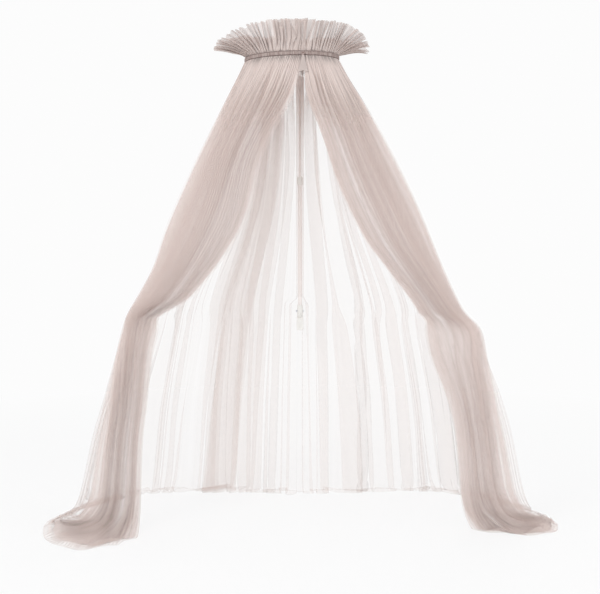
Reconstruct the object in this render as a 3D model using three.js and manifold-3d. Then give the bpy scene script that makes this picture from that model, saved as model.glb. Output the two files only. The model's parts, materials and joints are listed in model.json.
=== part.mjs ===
// Bed crown canopy: a sheer veil that hangs from an oval hoop, on a telescopic
// pole that clamps over the top rail of a bed. Millimetres, +Z up, X along the
// bed, -Y towards the front. The origin lies on the clamp's saddle, where it
// rests on the rail.

import * as THREE from 'three';
import { mergeVertices } from 'three/addons/utils/BufferGeometryUtils.js';
import Module from 'manifold-3d';

const wasm = await Module();
wasm.setup();

// Heights and fits
const railAboveFloor = 840;
const hoopAboveRail = 1179;
const seatGap = 0.3;
const runGap = 0.1;
const overrun = 5;
const roundSegments = 12;

// Clamp
const throatFront = 17;
const throatBack = 25;
const linerThickness = 2;
const linerEndGap = 2;
const jawThickness = 7;
const jawDrop = 45;
const legThickness = 8;
const legDrop = 44;
const bridgeThickness = 12;
const frameWidth = 30;
const frameCornerRadius = 9;
const frameBevel = 1;
const socketWall = 3.7;
const socketHeight = 56;
const socketFloorDepth = 4;
const gussetThickness = 4;
const gussetHeight = 26;
const gussetFoot = 11;
const bossRadius = 10;
const bossLength = 12;

// Clamp screw, knob and pad
const screwDrop = 26;
const screwRadius = 4;
const screwPitch = 2.5;
const screwTurnsEachWay = 4;
const screwEndRadius = 2.5;
const screwEndLength = 3.5;
const railThickness = 22;
const padRadius = 11;
const padThickness = 5;
const padRubberRadius = 10;
const padRubberThickness = 2.5;
const knobRadius = 18;
const knobLobeDepth = 2.6;
const knobLobes = 6;
const knobThickness = 15;
const knobBevel = 2;
const knobHubRadius = 9;
const knobHubLength = 6;
const knobCapRadius = 8;
const knobCapThickness = 2.4;
const knobScrewDepth = 12;

// Pole
const lowerTubeRadius = 9;
const lowerTubeWall = 1.2;
const lowerTubeTop = 640;
const upperTubeRadius = 6;
const upperTubeWall = 1;
const upperTubeFlat = 0.8;
const upperTubeBottom = 300;
const socketBoltRadius = 2.5;
const socketBoltRise = 28;
const socketBoltHeadRadius = 4.5;
const socketBoltHeadThickness = 3;
const socketBoltEnd = 2;
const socketNutRadius = 4.8;
const socketNutThickness = 4;
const nutSides = 6;

// Height lock
const bushDepth = 40;
const bushFlangeThickness = 3;
const colletHeight = 14;
const colletTaper = 0.8;
const colletSlotWidth = 1.6;
const colletSlots = 4;
const collarRadius = 14;
const collarFlutes = 12;
const collarFluteDepth = 1.1;
const collarSkirt = 16;
const collarRoof = 4;
const collarBevel = 1.2;
const sliderPlugDepth = 15;
const sliderHeadThickness = 9;

// Hoop and the tee that carries it
const hoopRodRadius = 2.5;
const hoopHalfWidth = 205;
const hoopHalfDepth = 142;
const hoopTurn = 15.5;
const hoopSides = 8;
const hoopSteps = 52;
const teeArmReach = 30;
const teeArmWall = 2.2;
const teeWeb = 8;
const teeNeckRadius = 4.5;
const teeNeckClearance = 2.5;
const teeFlangeOverhang = 0.75;
const teeFlangeThickness = 3;
const teePlugDepth = 25;
const teeScrewDrop = 12;
const teeScrewRadius = 1.6;
const teeScrewDepth = 3;
const teeScrewHeadRadius = 3.2;
const teeScrewHeadThickness = 2;
const grubScrewRadius = 1.5;
const grubScrewInset = 12;

// Cloth
const clothThickness = 2.4;
const clothClearance = 1.35;
const casingHeight = 22;
const casingWall = 3;
const casingColumns = 54;
const gatherDepth = 1.4;
const ruffleLength = 142;
const ruffleFrontFlare = 24;
const ruffleSideFlare = 76;
const ruffleFolds = 21;
const ruffleColumns = 84;
const ruffleRows = 4;
const ruffleFoldDepth = 11;
const ruffleRaggedEdge = 5;
const veilHalfSpread = 1130;
const veilForward = 760;
const veilKnobClearance = 45;
const veilFoldTop = 1.2;
const veilFoldDepth = 26;
const veilRipple = 22;
const veilFolds = 18;
const veilColumns = 36;
const veilRows = 12;
const veilSeamGap = 0.5;
const openingOffset = 85;
const openingHalfGap = 12;

// Drawstring
const stringRadius = 1.5;
const stringSteps = 72;
const stringSides = 6;
const stringSpacing = 2.4;
const stringBend = 9;
const buttonholeWidth = 11;
const buttonholeHeight = 6;
const knotRadius = 7;
const knotReach = 9.5;
const tailLength = 66;
const tailTopRadius = 2;
const tailEndRadius = 6;
const tailFlatShare = 0.45;
const tailSplay = 11;

// Places worked out from the sizes above
const degrees = Math.PI / 180;
const fullTurn = 2 * Math.PI;
const frontAngle = -Math.PI / 2;
const backAngle = Math.PI / 2;
const bridgeUnderside = linerThickness + seatGap;
const bridgeTop = bridgeUnderside + bridgeThickness;
const jawFaceY = -throatFront - linerThickness - seatGap;
const jawBackY = jawFaceY - jawThickness;
const legFaceY = throatBack;
const legBackY = legFaceY + legThickness;
const bossEndY = legBackY + bossLength;
const socketBoreRadius = lowerTubeRadius + seatGap;
const socketRadius = socketBoreRadius + socketWall;
const socketTop = bridgeTop + socketHeight;
const socketFloor = bridgeTop - socketFloorDepth;
const socketBoltZ = bridgeTop + socketBoltRise;
const screwTravel = screwPitch * screwTurnsEachWay;
const padFaceY = -throatFront + railThickness + seatGap;
const padFrontY = padFaceY + padRubberThickness + seatGap;
const padBackY = padFrontY + padThickness;
const knobFrontY = bossEndY + screwTravel + seatGap;
const knobBodyY = knobFrontY + knobHubLength;
const knobBackY = knobBodyY + knobThickness;
const knobEndY = knobBackY + knobCapThickness;
const lowerTubeBore = lowerTubeRadius - lowerTubeWall;
const bushTop = lowerTubeTop + seatGap + bushFlangeThickness;
const colletTop = bushTop + colletHeight;
const teeArmRadius = hoopRodRadius + seatGap + teeArmWall;
const teeFlangeRadius = upperTubeRadius + teeFlangeOverhang;
const veilTopOut = teeFlangeRadius + clothClearance + clothThickness / 2 + veilFoldTop;
const casingHalfDepth = veilTopOut + clothThickness / 2;
const casingTop = teeArmRadius + seatGap + casingWall;
const casingBottom = casingTop - casingHeight;
const teeFlangeTop = hoopAboveRail + casingBottom - teeNeckClearance;
const upperTubeTop = teeFlangeTop - teeFlangeThickness - seatGap;
const teeScrewZ = upperTubeTop - teeScrewDrop;
const hoopCentreY = -hoopHalfDepth * Math.sqrt(1 - (teeArmReach / hoopHalfWidth) ** 2);
const crownTurn = -hoopTurn * degrees;
const veilTop = casingBottom - seatGap;
const veilDrop = hoopAboveRail + veilTop + railAboveFloor;
const veilBack = knobEndY + screwTravel + veilKnobClearance;

const xAxis = new THREE.Vector3(1, 0, 0);
const yAxis = new THREE.Vector3(0, 1, 0);
const zAxis = new THREE.Vector3(0, 0, 1);

// Materials
const finish = (color, roughness, metalness = 0) =>
  new THREE.MeshStandardMaterial({ color, roughness, metalness });
const voile = () => finish(0xc9b4ab, 0.9);
const whiteLacquer = () => finish(0xf3f1ed, 0.35, 0.1);
const whitePlastic = () => finish(0xeeece8, 0.5);
const greyRubber = () => finish(0x8d8b88, 0.85);
const zincSteel = () => finish(0xc9ccd0, 0.3, 0.9);

// Solids: joins and cuts
const toSolid = (geometry) => {
  const bare = geometry.clone();
  bare.deleteAttribute('normal');
  bare.deleteAttribute('uv');
  const merged = mergeVertices(bare);
  return new wasm.Manifold(new wasm.Mesh({
    numProp: 3,
    vertProperties: new Float32Array(merged.attributes.position.array),
    triVerts: new Uint32Array(merged.index.array),
  }));
};

const toGeometry = (solid) => {
  const { vertProperties, triVerts } = solid.getMesh();
  const geometry = new THREE.BufferGeometry();
  geometry.setAttribute('position', new THREE.BufferAttribute(vertProperties, 3));
  geometry.setIndex(new THREE.BufferAttribute(triVerts, 1));
  geometry.computeVertexNormals();
  return geometry;
};

const joined = (...geometries) =>
  toGeometry(geometries.map(toSolid).reduce((sum, solid) => sum.add(solid)));

const cut = (geometry, ...cutters) =>
  toGeometry(cutters.map(toSolid).reduce((rest, solid) => rest.subtract(solid), toSolid(geometry)));

// Outlines and bars. A bar stands along +Z from its low end until it is laid.
const circle = (radius, ShapeType = THREE.Shape) => {
  const outline = new ShapeType();
  outline.absarc(0, 0, radius, 0, fullTurn);
  return outline;
};

const flatSided = (radius, flatAt, ShapeType = THREE.Shape) => {
  const half = Math.acos(flatAt / radius);
  const outline = new ShapeType();
  outline.absarc(0, 0, radius, backAngle + half, backAngle + fullTurn - half);
  outline.closePath();
  return outline;
};

const lobed = (radius, depth, lobes, pointsPerLobe) => {
  const outline = new THREE.Shape();
  const count = lobes * pointsPerLobe;
  for (let i = 0; i < count; i++) {
    const angle = (i * fullTurn) / count;
    const reach = radius - (depth * (1 - Math.cos(angle * lobes))) / 2;
    const move = i === 0 ? 'moveTo' : 'lineTo';
    outline[move](reach * Math.cos(angle), reach * Math.sin(angle));
  }
  outline.closePath();
  return outline;
};

const bar = (outline, low, high, options = {}) => {
  const geometry = new THREE.ExtrudeGeometry(outline, {
    depth: high - low, bevelEnabled: false, curveSegments: roundSegments, ...options,
  });
  geometry.translate(0, 0, low);
  return geometry;
};

const bevelled = (outline, low, high, bevel) => bar(outline, low + bevel, high - bevel, {
  bevelEnabled: true, bevelThickness: bevel, bevelSize: bevel, bevelOffset: -bevel, bevelSegments: 1,
});

const alongX = (geometry) => geometry.applyMatrix4(new THREE.Matrix4().makeBasis(yAxis, zAxis, xAxis));
const alongY = (geometry) => geometry.applyMatrix4(new THREE.Matrix4().makeBasis(zAxis, xAxis, yAxis));
const moved = (geometry, x, y, z) => geometry.translate(x, y, z);

const box = (x0, x1, y0, y1, z0, z1) => {
  const geometry = new THREE.BoxGeometry(x1 - x0, y1 - y0, z1 - z0);
  return moved(geometry, (x0 + x1) / 2, (y0 + y1) / 2, (z0 + z1) / 2);
};

const swept = (points, radius, steps, sides) => new THREE.ExtrudeGeometry(circle(radius), {
  extrudePath: new THREE.CatmullRomCurve3(points), steps, curveSegments: sides / 2, bevelEnabled: false,
});

// Cloth: a closed solid on both sides of a surface that is given by two shares
const surfaceNormal = (pointAt, across, down) => {
  const stepShare = 0.001;
  const low = Math.max(down - stepShare, 0);
  const high = Math.min(down + stepShare, 1);
  const wide = pointAt(across + stepShare, down).sub(pointAt(across - stepShare, down));
  const tall = pointAt(across, high).sub(pointAt(across, low));
  return wide.cross(tall).normalize();
};

const facingOut = (positions, indices) => {
  const corner = [new THREE.Vector3(), new THREE.Vector3(), new THREE.Vector3()];
  let volume = 0;
  for (let i = 0; i < indices.length; i += 3) {
    corner.forEach((point, k) => point.fromArray(positions, indices[i + k] * 3));
    volume += corner[0].dot(corner[1].cross(corner[2]));
  }
  return volume > 0 ? indices : indices.reverse();
};

const meshOf = (positions, indices) => {
  const geometry = new THREE.BufferGeometry();
  geometry.setAttribute('position', new THREE.Float32BufferAttribute(positions, 3));
  geometry.setIndex(facingOut(positions, indices));
  geometry.computeVertexNormals();
  return geometry;
};

const clothSolid = (pointAt, columns, rows, thickness, closed = false) => {
  const columnCount = closed ? columns : columns + 1;
  const positions = [];
  const indices = [];
  const place = (side, row, column) =>
    (side * (rows + 1) + row) * columnCount + (column % columnCount);
  const quad = (a, b, c, d) => indices.push(a, b, c, a, c, d);
  for (const side of [1, -1]) {
    for (let row = 0; row <= rows; row++) {
      for (let column = 0; column < columnCount; column++) {
        const across = column / columns;
        const down = row / rows;
        const offset = surfaceNormal(pointAt, across, down).multiplyScalar((side * thickness) / 2);
        positions.push(...pointAt(across, down).add(offset).toArray());
      }
    }
  }
  for (let row = 0; row < rows; row++) {
    for (let column = 0; column < columns; column++) {
      const next = column + 1;
      quad(place(0, row, column), place(0, row, next), place(0, row + 1, next), place(0, row + 1, column));
      quad(place(1, row, next), place(1, row, column), place(1, row + 1, column), place(1, row + 1, next));
    }
  }
  for (let column = 0; column < columns; column++) {
    const next = column + 1;
    quad(place(0, 0, next), place(0, 0, column), place(1, 0, column), place(1, 0, next));
    quad(place(0, rows, column), place(0, rows, next), place(1, rows, next), place(1, rows, column));
  }
  for (let row = 0; row < rows && !closed; row++) {
    quad(place(0, row, 0), place(0, row + 1, 0), place(1, row + 1, 0), place(1, row, 0));
    const edge = columns;
    quad(place(0, row + 1, edge), place(0, row, edge), place(1, row, edge), place(1, row + 1, edge));
  }
  return meshOf(positions, indices);
};

// The clamp frame: an open C over the rail, with a socket for the pole on its
// bridge and a threaded boss for the screw on its outer leg
const clampFrame = () => {
  const outline = new THREE.Shape();
  const r = frameCornerRadius;
  outline.moveTo(jawBackY, -jawDrop);
  outline.lineTo(jawBackY, bridgeTop - r);
  outline.absarc(jawBackY + r, bridgeTop - r, r, Math.PI, Math.PI / 2, true);
  outline.lineTo(legBackY - r, bridgeTop);
  outline.absarc(legBackY - r, bridgeTop - r, r, Math.PI / 2, 0, true);
  outline.lineTo(legBackY, -legDrop);
  outline.lineTo(legFaceY, -legDrop);
  outline.lineTo(legFaceY, bridgeUnderside);
  outline.lineTo(jawFaceY, bridgeUnderside);
  outline.lineTo(jawFaceY, -jawDrop);
  outline.closePath();
  const hook = alongX(bevelled(outline, -frameWidth / 2, frameWidth / 2, frameBevel));
  const socket = bar(circle(socketRadius), socketFloor, socketTop);
  const boss = moved(alongY(bar(circle(bossRadius), legBackY - frameBevel, bossEndY)), 0, 0, -screwDrop);
  const gusset = new THREE.Shape();
  const foot = socketRadius + gussetFoot;
  const root = bridgeTop - frameBevel;
  gusset.moveTo(-foot, root);
  gusset.lineTo(foot, root);
  gusset.lineTo(socketRadius - frameBevel, bridgeTop + gussetHeight);
  gusset.lineTo(frameBevel - socketRadius, bridgeTop + gussetHeight);
  gusset.closePath();
  const ribs = alongX(bar(gusset, -gussetThickness / 2, gussetThickness / 2));
  const poleBore = bar(circle(socketBoreRadius), socketFloor, socketTop + overrun);
  const screwBore = alongY(bar(circle(screwRadius + runGap), legFaceY - overrun, bossEndY + overrun));
  const boltReach = socketRadius + overrun;
  const boltBore = alongX(bar(circle(socketBoltRadius + seatGap), -boltReach, boltReach));
  return cut(
    joined(hook, socket, boss, ribs), poleBore,
    moved(screwBore, 0, 0, -screwDrop), moved(boltBore, 0, 0, socketBoltZ),
  );
};

// The rubber that lines the saddle and the front jaw
const jawLiner = () => {
  const outline = new THREE.Shape();
  const backEdge = throatBack - linerEndGap;
  outline.moveTo(-throatFront - linerThickness, -jawDrop + linerEndGap);
  outline.lineTo(-throatFront - linerThickness, linerThickness);
  outline.lineTo(backEdge, linerThickness);
  outline.lineTo(backEdge, 0);
  outline.lineTo(-throatFront, 0);
  outline.lineTo(-throatFront, -jawDrop + linerEndGap);
  outline.closePath();
  const halfWidth = frameWidth / 2 - frameBevel;
  return alongX(bar(outline, -halfWidth, halfWidth));
};

// The screw, with a stub that turns in the pad, and its knob
const clampSpindle = () => {
  const stub = bar(circle(screwEndRadius), padBackY - screwEndLength, padBackY + seatGap + overrun);
  const shank = bar(circle(screwRadius), padBackY + seatGap, knobBodyY + knobScrewDepth);
  return moved(alongY(joined(stub, shank)), 0, 0, -screwDrop);
};

const clampKnob = () => {
  const outline = lobed(knobRadius, knobLobeDepth, knobLobes, roundSegments);
  const star = bevelled(outline, knobBodyY, knobBackY, knobBevel);
  const hub = bar(circle(knobHubRadius), knobFrontY, knobBodyY + knobBevel);
  const bore = bar(circle(screwRadius + seatGap), knobFrontY - overrun, knobBodyY + knobScrewDepth + seatGap);
  return moved(alongY(cut(joined(star, hub), bore)), 0, 0, -screwDrop);
};

const knobCap = () => {
  const cap = bevelled(circle(knobCapRadius), knobBackY + seatGap, knobEndY + seatGap, knobCapThickness / 3);
  return moved(alongY(cap), 0, 0, -screwDrop);
};

const pressurePad = () => {
  const disc = bevelled(circle(padRadius), padFrontY, padBackY, padThickness / 5);
  const cup = bar(circle(screwEndRadius + runGap), padBackY - screwEndLength - seatGap, padBackY + overrun);
  return moved(alongY(cut(disc, cup)), 0, 0, -screwDrop);
};

const padRubber = () =>
  moved(alongY(bar(circle(padRubberRadius), padFaceY, padFaceY + padRubberThickness)), 0, 0, -screwDrop);

// The pole: a lower tube in the clamp's socket, and an upper tube with one flat
// side, so that the hoop keeps facing the bed
const lowerTube = () => {
  const outline = circle(lowerTubeRadius);
  outline.holes.push(circle(lowerTubeBore, THREE.Path));
  const boltReach = lowerTubeRadius + overrun;
  const boltBore = alongX(bar(circle(socketBoltRadius + seatGap), -boltReach, boltReach));
  return cut(bar(outline, socketFloor + seatGap, lowerTubeTop), moved(boltBore, 0, 0, socketBoltZ));
};

const upperTube = () => {
  const outline = flatSided(upperTubeRadius, upperTubeRadius - upperTubeFlat);
  const boreRadius = upperTubeRadius - upperTubeWall;
  outline.holes.push(flatSided(boreRadius, boreRadius - upperTubeFlat, THREE.Path));
  const screwHole = bar(circle(teeScrewRadius + seatGap), -upperTubeRadius - overrun, 0);
  return cut(bar(outline, upperTubeBottom, upperTubeTop), moved(alongY(screwHole), 0, 0, teeScrewZ));
};

const tubeSlider = () => {
  const headTop = upperTubeBottom - seatGap;
  const head = bevelled(circle(lowerTubeBore - runGap), headTop - sliderHeadThickness, headTop, upperTubeWall);
  const plugRadius = upperTubeRadius - upperTubeWall - seatGap;
  const plug = flatSided(plugRadius, plugRadius - upperTubeFlat);
  return joined(head, bar(plug, headTop - sliderHeadThickness / 2, upperTubeBottom + sliderPlugDepth));
};

const socketBolt = () => {
  const end = socketRadius + seatGap + socketNutThickness + socketBoltEnd;
  const shank = bar(circle(socketBoltRadius), -end, socketRadius + seatGap + socketBoltHeadThickness / 2);
  const head = bevelled(
    circle(socketBoltHeadRadius), socketRadius + seatGap,
    socketRadius + seatGap + socketBoltHeadThickness, socketBoltHeadThickness / 4,
  );
  return moved(alongX(joined(shank, head)), 0, 0, socketBoltZ);
};

const socketNut = () => {
  const outline = new THREE.Shape();
  for (let side = 0; side < nutSides; side++) {
    const angle = (side * fullTurn) / nutSides;
    const move = side === 0 ? 'moveTo' : 'lineTo';
    outline[move](socketNutRadius * Math.cos(angle), socketNutRadius * Math.sin(angle));
  }
  outline.closePath();
  outline.holes.push(circle(socketBoltRadius + seatGap, THREE.Path));
  const far = -socketRadius - seatGap - socketNutThickness;
  return moved(alongX(bar(outline, far, far + socketNutThickness)), 0, 0, socketBoltZ);
};

// The height lock: a slotted collet in the top of the lower tube and a fluted
// collar that closes it on the upper tube
const guideBush = () => {
  const bodyRadius = lowerTubeBore - runGap;
  const body = bar(circle(bodyRadius), lowerTubeTop - bushDepth, bushTop - bushFlangeThickness / 2);
  const flange = bar(circle(lowerTubeRadius), lowerTubeTop + seatGap, bushTop);
  const collet = new THREE.CylinderGeometry(
    bodyRadius - colletTaper, bodyRadius, colletHeight + bushFlangeThickness / 2, 2 * roundSegments,
  );
  collet.rotateX(Math.PI / 2);
  collet.translate(0, 0, (bushTop - bushFlangeThickness / 2 + colletTop) / 2);
  const boreRadius = upperTubeRadius + runGap;
  const bore = bar(
    flatSided(boreRadius, boreRadius - upperTubeFlat), lowerTubeTop - bushDepth - overrun, colletTop + overrun,
  );
  const slots = [];
  for (let slot = 0; slot < colletSlots / 2; slot++) {
    const gap = box(
      -lowerTubeRadius, lowerTubeRadius, -colletSlotWidth / 2, colletSlotWidth / 2,
      bushTop + seatGap, colletTop + overrun,
    );
    slots.push(gap.rotateZ(Math.PI / colletSlots + (slot * fullTurn) / colletSlots));
  }
  return cut(joined(body, flange, collet), bore, ...slots);
};

const lockCollar = () => {
  const low = lowerTubeTop - collarSkirt;
  const high = colletTop + seatGap + collarRoof;
  const outline = lobed(collarRadius, collarFluteDepth, collarFlutes, roundSegments / 2);
  const body = bevelled(outline, low, high, collarBevel);
  const skirtBore = bar(circle(lowerTubeRadius + seatGap), low - overrun, bushTop + seatGap);
  const colletBore = bar(circle(lowerTubeBore - runGap + seatGap), bushTop, colletTop + seatGap);
  const tubeBore = bar(circle(upperTubeRadius + seatGap), colletTop, high + overrun);
  return cut(body, skirtBore, colletBore, tubeBore);
};

// The tee: a stem in the top of the pole and two arms that take the hoop's ends
const hoopTee = () => {
  const arms = alongX(bar(circle(teeArmRadius), -teeArmReach, teeArmReach)).rotateZ(crownTurn);
  const bores = [-1, 1].map((side) => {
    const bore = alongX(bar(circle(hoopRodRadius + seatGap), teeWeb, teeArmReach + overrun));
    return moved(bore.rotateZ(side < 0 ? Math.PI : 0).rotateZ(crownTurn), 0, 0, hoopAboveRail);
  });
  const threads = [-1, 1].map((side) => {
    const hole = bar(circle(grubScrewRadius + seatGap), -teeArmRadius - overrun, 0);
    moved(hole, side * (teeArmReach - grubScrewInset), 0, 0);
    return moved(hole.rotateZ(crownTurn), 0, 0, hoopAboveRail);
  });
  const neck = bar(circle(teeNeckRadius), teeFlangeTop - teeFlangeThickness / 2, hoopAboveRail);
  const flange = bar(circle(teeFlangeRadius), teeFlangeTop - teeFlangeThickness, teeFlangeTop);
  const plugRadius = upperTubeRadius - upperTubeWall - upperTubeFlat - seatGap;
  const plug = bar(circle(plugRadius), upperTubeTop - teePlugDepth, teeFlangeTop - teeFlangeThickness / 2);
  const pocketDepth = upperTubeRadius - upperTubeWall - teeScrewDepth - seatGap;
  const pocket = bar(circle(teeScrewRadius + seatGap), -upperTubeRadius, -pocketDepth);
  return cut(
    joined(moved(arms, 0, 0, hoopAboveRail), neck, flange, plug),
    ...bores, ...threads, moved(alongY(pocket), 0, 0, teeScrewZ),
  );
};

const teeScrew = () => {
  const under = -upperTubeRadius - seatGap;
  const end = teeScrewDepth + upperTubeWall - upperTubeRadius;
  const shank = bar(circle(teeScrewRadius), under - teeScrewHeadThickness / 2, end);
  const head = bevelled(
    circle(teeScrewHeadRadius), under - teeScrewHeadThickness, under, teeScrewHeadThickness / 4,
  );
  return moved(alongY(joined(shank, head)), 0, 0, teeScrewZ);
};

// Pieces of the crown lie in the hoop's own frame: its plane is z = 0 and the
// tee's arms lie along X
const grubScrew = (side) => {
  const screw = bar(circle(grubScrewRadius), -teeArmRadius, -hoopRodRadius - seatGap);
  return moved(screw, side * (teeArmReach - grubScrewInset), 0, 0);
};

const loopPoint = (angle, out, height) => new THREE.Vector3(
  (hoopHalfWidth + out) * Math.cos(angle),
  Math.min(hoopCentreY + (hoopHalfDepth + out) * Math.sin(angle), out),
  height,
);

const crownHoop = () => {
  const points = [new THREE.Vector3(-teeWeb - seatGap, 0, 0), new THREE.Vector3(-teeArmReach, 0, 0)];
  const stop = Math.asin(-hoopCentreY / hoopHalfDepth);
  const first = Math.PI - stop;
  const sweep = Math.PI + 2 * stop;
  for (let step = 1; step < hoopSteps; step++) {
    points.push(loopPoint(first + (sweep * step) / hoopSteps, 0, 0));
  }
  points.push(new THREE.Vector3(teeArmReach, 0, 0), new THREE.Vector3(teeWeb + seatGap, 0, 0));
  return swept(points, hoopRodRadius, points.length, hoopSides);
};

// The gathered casing: a hollow band round the hoop. The stem of the tee comes
// up into it at the back and the drawstring leaves it at the front.
const casingSectionShares = [
  [1, -0.55], [1, 0.55], [0.8, 1], [-0.8, 1], [-1, 0.55], [-1, -0.55], [-0.8, -1], [0.8, -1],
];
const channelSectionShares = [[1, -1], [1, 1], [-1, 1], [-1, -1]];

const bandLoop = (sectionShares, halfDepth, low, high, relief) => {
  const positions = [];
  const indices = [];
  const sides = sectionShares.length;
  for (let column = 0; column < casingColumns; column++) {
    const angle = (column * fullTurn) / casingColumns;
    for (const [outShare, heightShare] of sectionShares) {
      const gather = Math.abs(outShare) === 1 ? relief * (column % 2) : 0;
      const out = outShare * (halfDepth - gather);
      const height = (low + high) / 2 + (heightShare * (high - low)) / 2;
      positions.push(...loopPoint(angle, out, height).toArray());
    }
  }
  for (let column = 0; column < casingColumns; column++) {
    const next = (column + 1) % casingColumns;
    for (let side = 0; side < sides; side++) {
      const a = column * sides + side;
      const b = column * sides + ((side + 1) % sides);
      const c = next * sides + ((side + 1) % sides);
      const d = next * sides + side;
      indices.push(a, b, c, a, c, d);
    }
  }
  return meshOf(positions, indices);
};

const bowTurn = Math.asin(openingOffset / hoopHalfWidth);
const bowAngle = frontAngle + bowTurn;
const bowPoint = loopPoint(bowAngle, casingHalfDepth, 0);
const atBow = (thing) => thing.applyMatrix4(new THREE.Matrix4().makeRotationZ(bowTurn).setPosition(bowPoint));
const stringHeight = casingBottom + casingWall + stringRadius + seatGap;
const stringOut = teeNeckRadius + 2 * seatGap + stringRadius;

const gatheredCasing = () => {
  const band = bandLoop(casingSectionShares, casingHalfDepth, casingBottom, casingTop, gatherDepth);
  const channel = bandLoop(
    channelSectionShares, casingHalfDepth - casingWall, casingBottom + casingWall, casingTop - casingWall, 0,
  );
  const stemHole = bar(circle(teeNeckRadius + seatGap), casingBottom - overrun, 0);
  const buttonhole = box(
    -buttonholeWidth / 2, buttonholeWidth / 2, -overrun, casingHalfDepth,
    stringHeight - buttonholeHeight / 2, stringHeight + buttonholeHeight / 2,
  );
  return cut(band, channel, stemHole, atBow(buttonhole));
};

// The drawstring lies in the casing and comes out in front, in a knot with two tails
const drawstring = () => {
  const knot = new THREE.Vector3(0, -knotReach, stringHeight);
  const neck = (side, reach) => atBow(new THREE.Vector3(side * stringSpacing, reach, stringHeight));
  const bend = (side) => loopPoint(bowAngle + (side * stringBend) / hoopHalfWidth, 0, stringHeight);
  const points = [neck(1, -knotReach), neck(1, casingWall), bend(1)];
  const turnInShare = 4 / stringSteps;
  for (let step = 0; step <= stringSteps; step++) {
    const share = turnInShare / 2 + (1 - turnInShare) * (step / stringSteps);
    points.push(loopPoint(bowAngle + share * fullTurn, stringOut, stringHeight));
  }
  points.push(bend(-1), neck(-1, casingWall), neck(-1, -knotReach));
  const ring = swept(points, stringRadius, points.length, stringSides);
  const ball = new THREE.SphereGeometry(knotRadius, roundSegments, roundSegments / 2);
  ball.translate(...knot.toArray());
  const tails = [-1, 1].map((side) => {
    const tail = new THREE.CylinderGeometry(tailTopRadius, tailEndRadius, tailLength, roundSegments / 2);
    tail.rotateX(Math.PI / 2).scale(1, tailFlatShare, 1).translate(0, 0, -tailLength / 2);
    return tail.rotateY(-side * tailSplay * degrees).translate(...knot.toArray());
  });
  return joined(ring, atBow(ball), ...tails.map(atBow));
};

// The ruffle: stands up in front and behind, and falls open at both sides
const ruffleEdgeShares = [0.2, 0.9, 0.4, 1, 0.1, 0.7, 0.5];
const ruffleSpreadPower = 4;

const crownRuffle = () => {
  const base = casingTop + seatGap + clothThickness / 4;
  const pointAt = (across, down) => {
    const angle = across * fullTurn;
    const sideShare = Math.abs(Math.cos(angle - bowTurn)) ** ruffleSpreadPower;
    const flare = (ruffleFrontFlare + (ruffleSideFlare - ruffleFrontFlare) * sideShare) * degrees;
    const lean = flare * (0.5 + 0.5 * down);
    const fold = ruffleFoldDepth * down * Math.cos(across * ruffleFolds * fullTurn);
    const place = ((across % 1) + 1) % 1;
    const ragged = ruffleEdgeShares[Math.floor(place * ruffleColumns) % ruffleEdgeShares.length];
    const length = (ruffleLength - ruffleRaggedEdge * ragged) * down;
    const out = length * Math.sin(lean) + fold * Math.cos(lean);
    return loopPoint(angle, out, base + length * Math.cos(lean) - fold * Math.sin(lean));
  };
  return clothSolid(pointAt, ruffleColumns, ruffleRows, clothThickness, true);
};

// The veil: one curtain on each side and a panel behind, lofted through plans
// at several heights. Plan points run from the left front edge, round the back,
// to the right front edge.
const planPlaceShares = [-1, -0.8, -0.6, -1 / 3, 0, 1 / 3, 0.6, 0.8, 1];
const veilPlanShares = [
  {
    drop: 0.31,
    across: [-0.232, -0.365, -0.473, -0.32, 0, 0.32, 0.445, 0.325, 0.172],
    along: [-0.474, -0.474, -0.263, 0.24, 0.45, 0.24, -0.263, -0.474, -0.474],
  },
  {
    drop: 0.553,
    across: [-0.53, -0.61, -0.648, -0.513, 0, 0.513, 0.622, 0.575, 0.469],
    along: [-0.553, -0.553, -0.289, 0.75, 0.89, 0.75, -0.289, -0.553, -0.553],
  },
  {
    drop: 0.6,
    across: [-0.547, -0.628, -0.67, -0.528, 0, 0.529, 0.7, 0.65, 0.5],
    along: [-0.564, -0.575, -0.303, 0.773, 0.905, 0.773, -0.308, -0.558, -0.553],
  },
  {
    drop: 0.776,
    across: [-0.61, -0.695, -0.752, -0.584, 0, 0.59, 0.772, 0.71, 0.584],
    along: [-0.605, -0.658, -0.355, 0.86, 0.96, 0.86, -0.38, -0.579, -0.553],
  },
  {
    drop: 0.965,
    across: [-0.62, -0.73, -0.82, -0.619, 0, 0.63, 0.832, 0.765, 0.62],
    along: [-0.658, -0.74, -0.434, 0.96, 1.03, 0.96, -0.434, -0.618, -0.566],
  },
  {
    drop: 1,
    across: [-0.62, -0.75, -0.895, -0.637, 0, 0.65, 0.92, 0.81, 0.65],
    along: [-0.763, -0.86, -0.46, 1.2, 1.24, 1.2, -0.46, -0.66, -0.605],
  },
  {
    drop: 1,
    across: [-0.635, -0.785, -0.955, -0.673, 0, 0.68, 0.965, 0.87, 0.685],
    along: [-0.9, -0.975, -0.53, 1.5, 1.5, 1.5, -0.52, -0.71, -0.658],
  },
];
const backFoldShare = 0.45;
const hangShare = 6 / 7;
const foldDriftShare = 0.1;

const veilPlans = veilPlanShares.map(({ drop, across, along }) => {
  const height = hoopAboveRail + veilTop - drop * veilDrop + clothThickness / 2;
  return new THREE.CatmullRomCurve3(across.map((share, i) => new THREE.Vector3(
    share * veilHalfSpread, along[i] * (along[i] < 0 ? veilForward : veilBack), height,
  )));
});

const planPlace = (place) => {
  const last = planPlaceShares.length - 1;
  let i = 0;
  while (i < last - 1 && place > planPlaceShares[i + 1]) i++;
  const within = (place - planPlaceShares[i]) / (planPlaceShares[i + 1] - planPlaceShares[i]);
  return Math.min(Math.max((i + within) / last, 0), 1);
};

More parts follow.
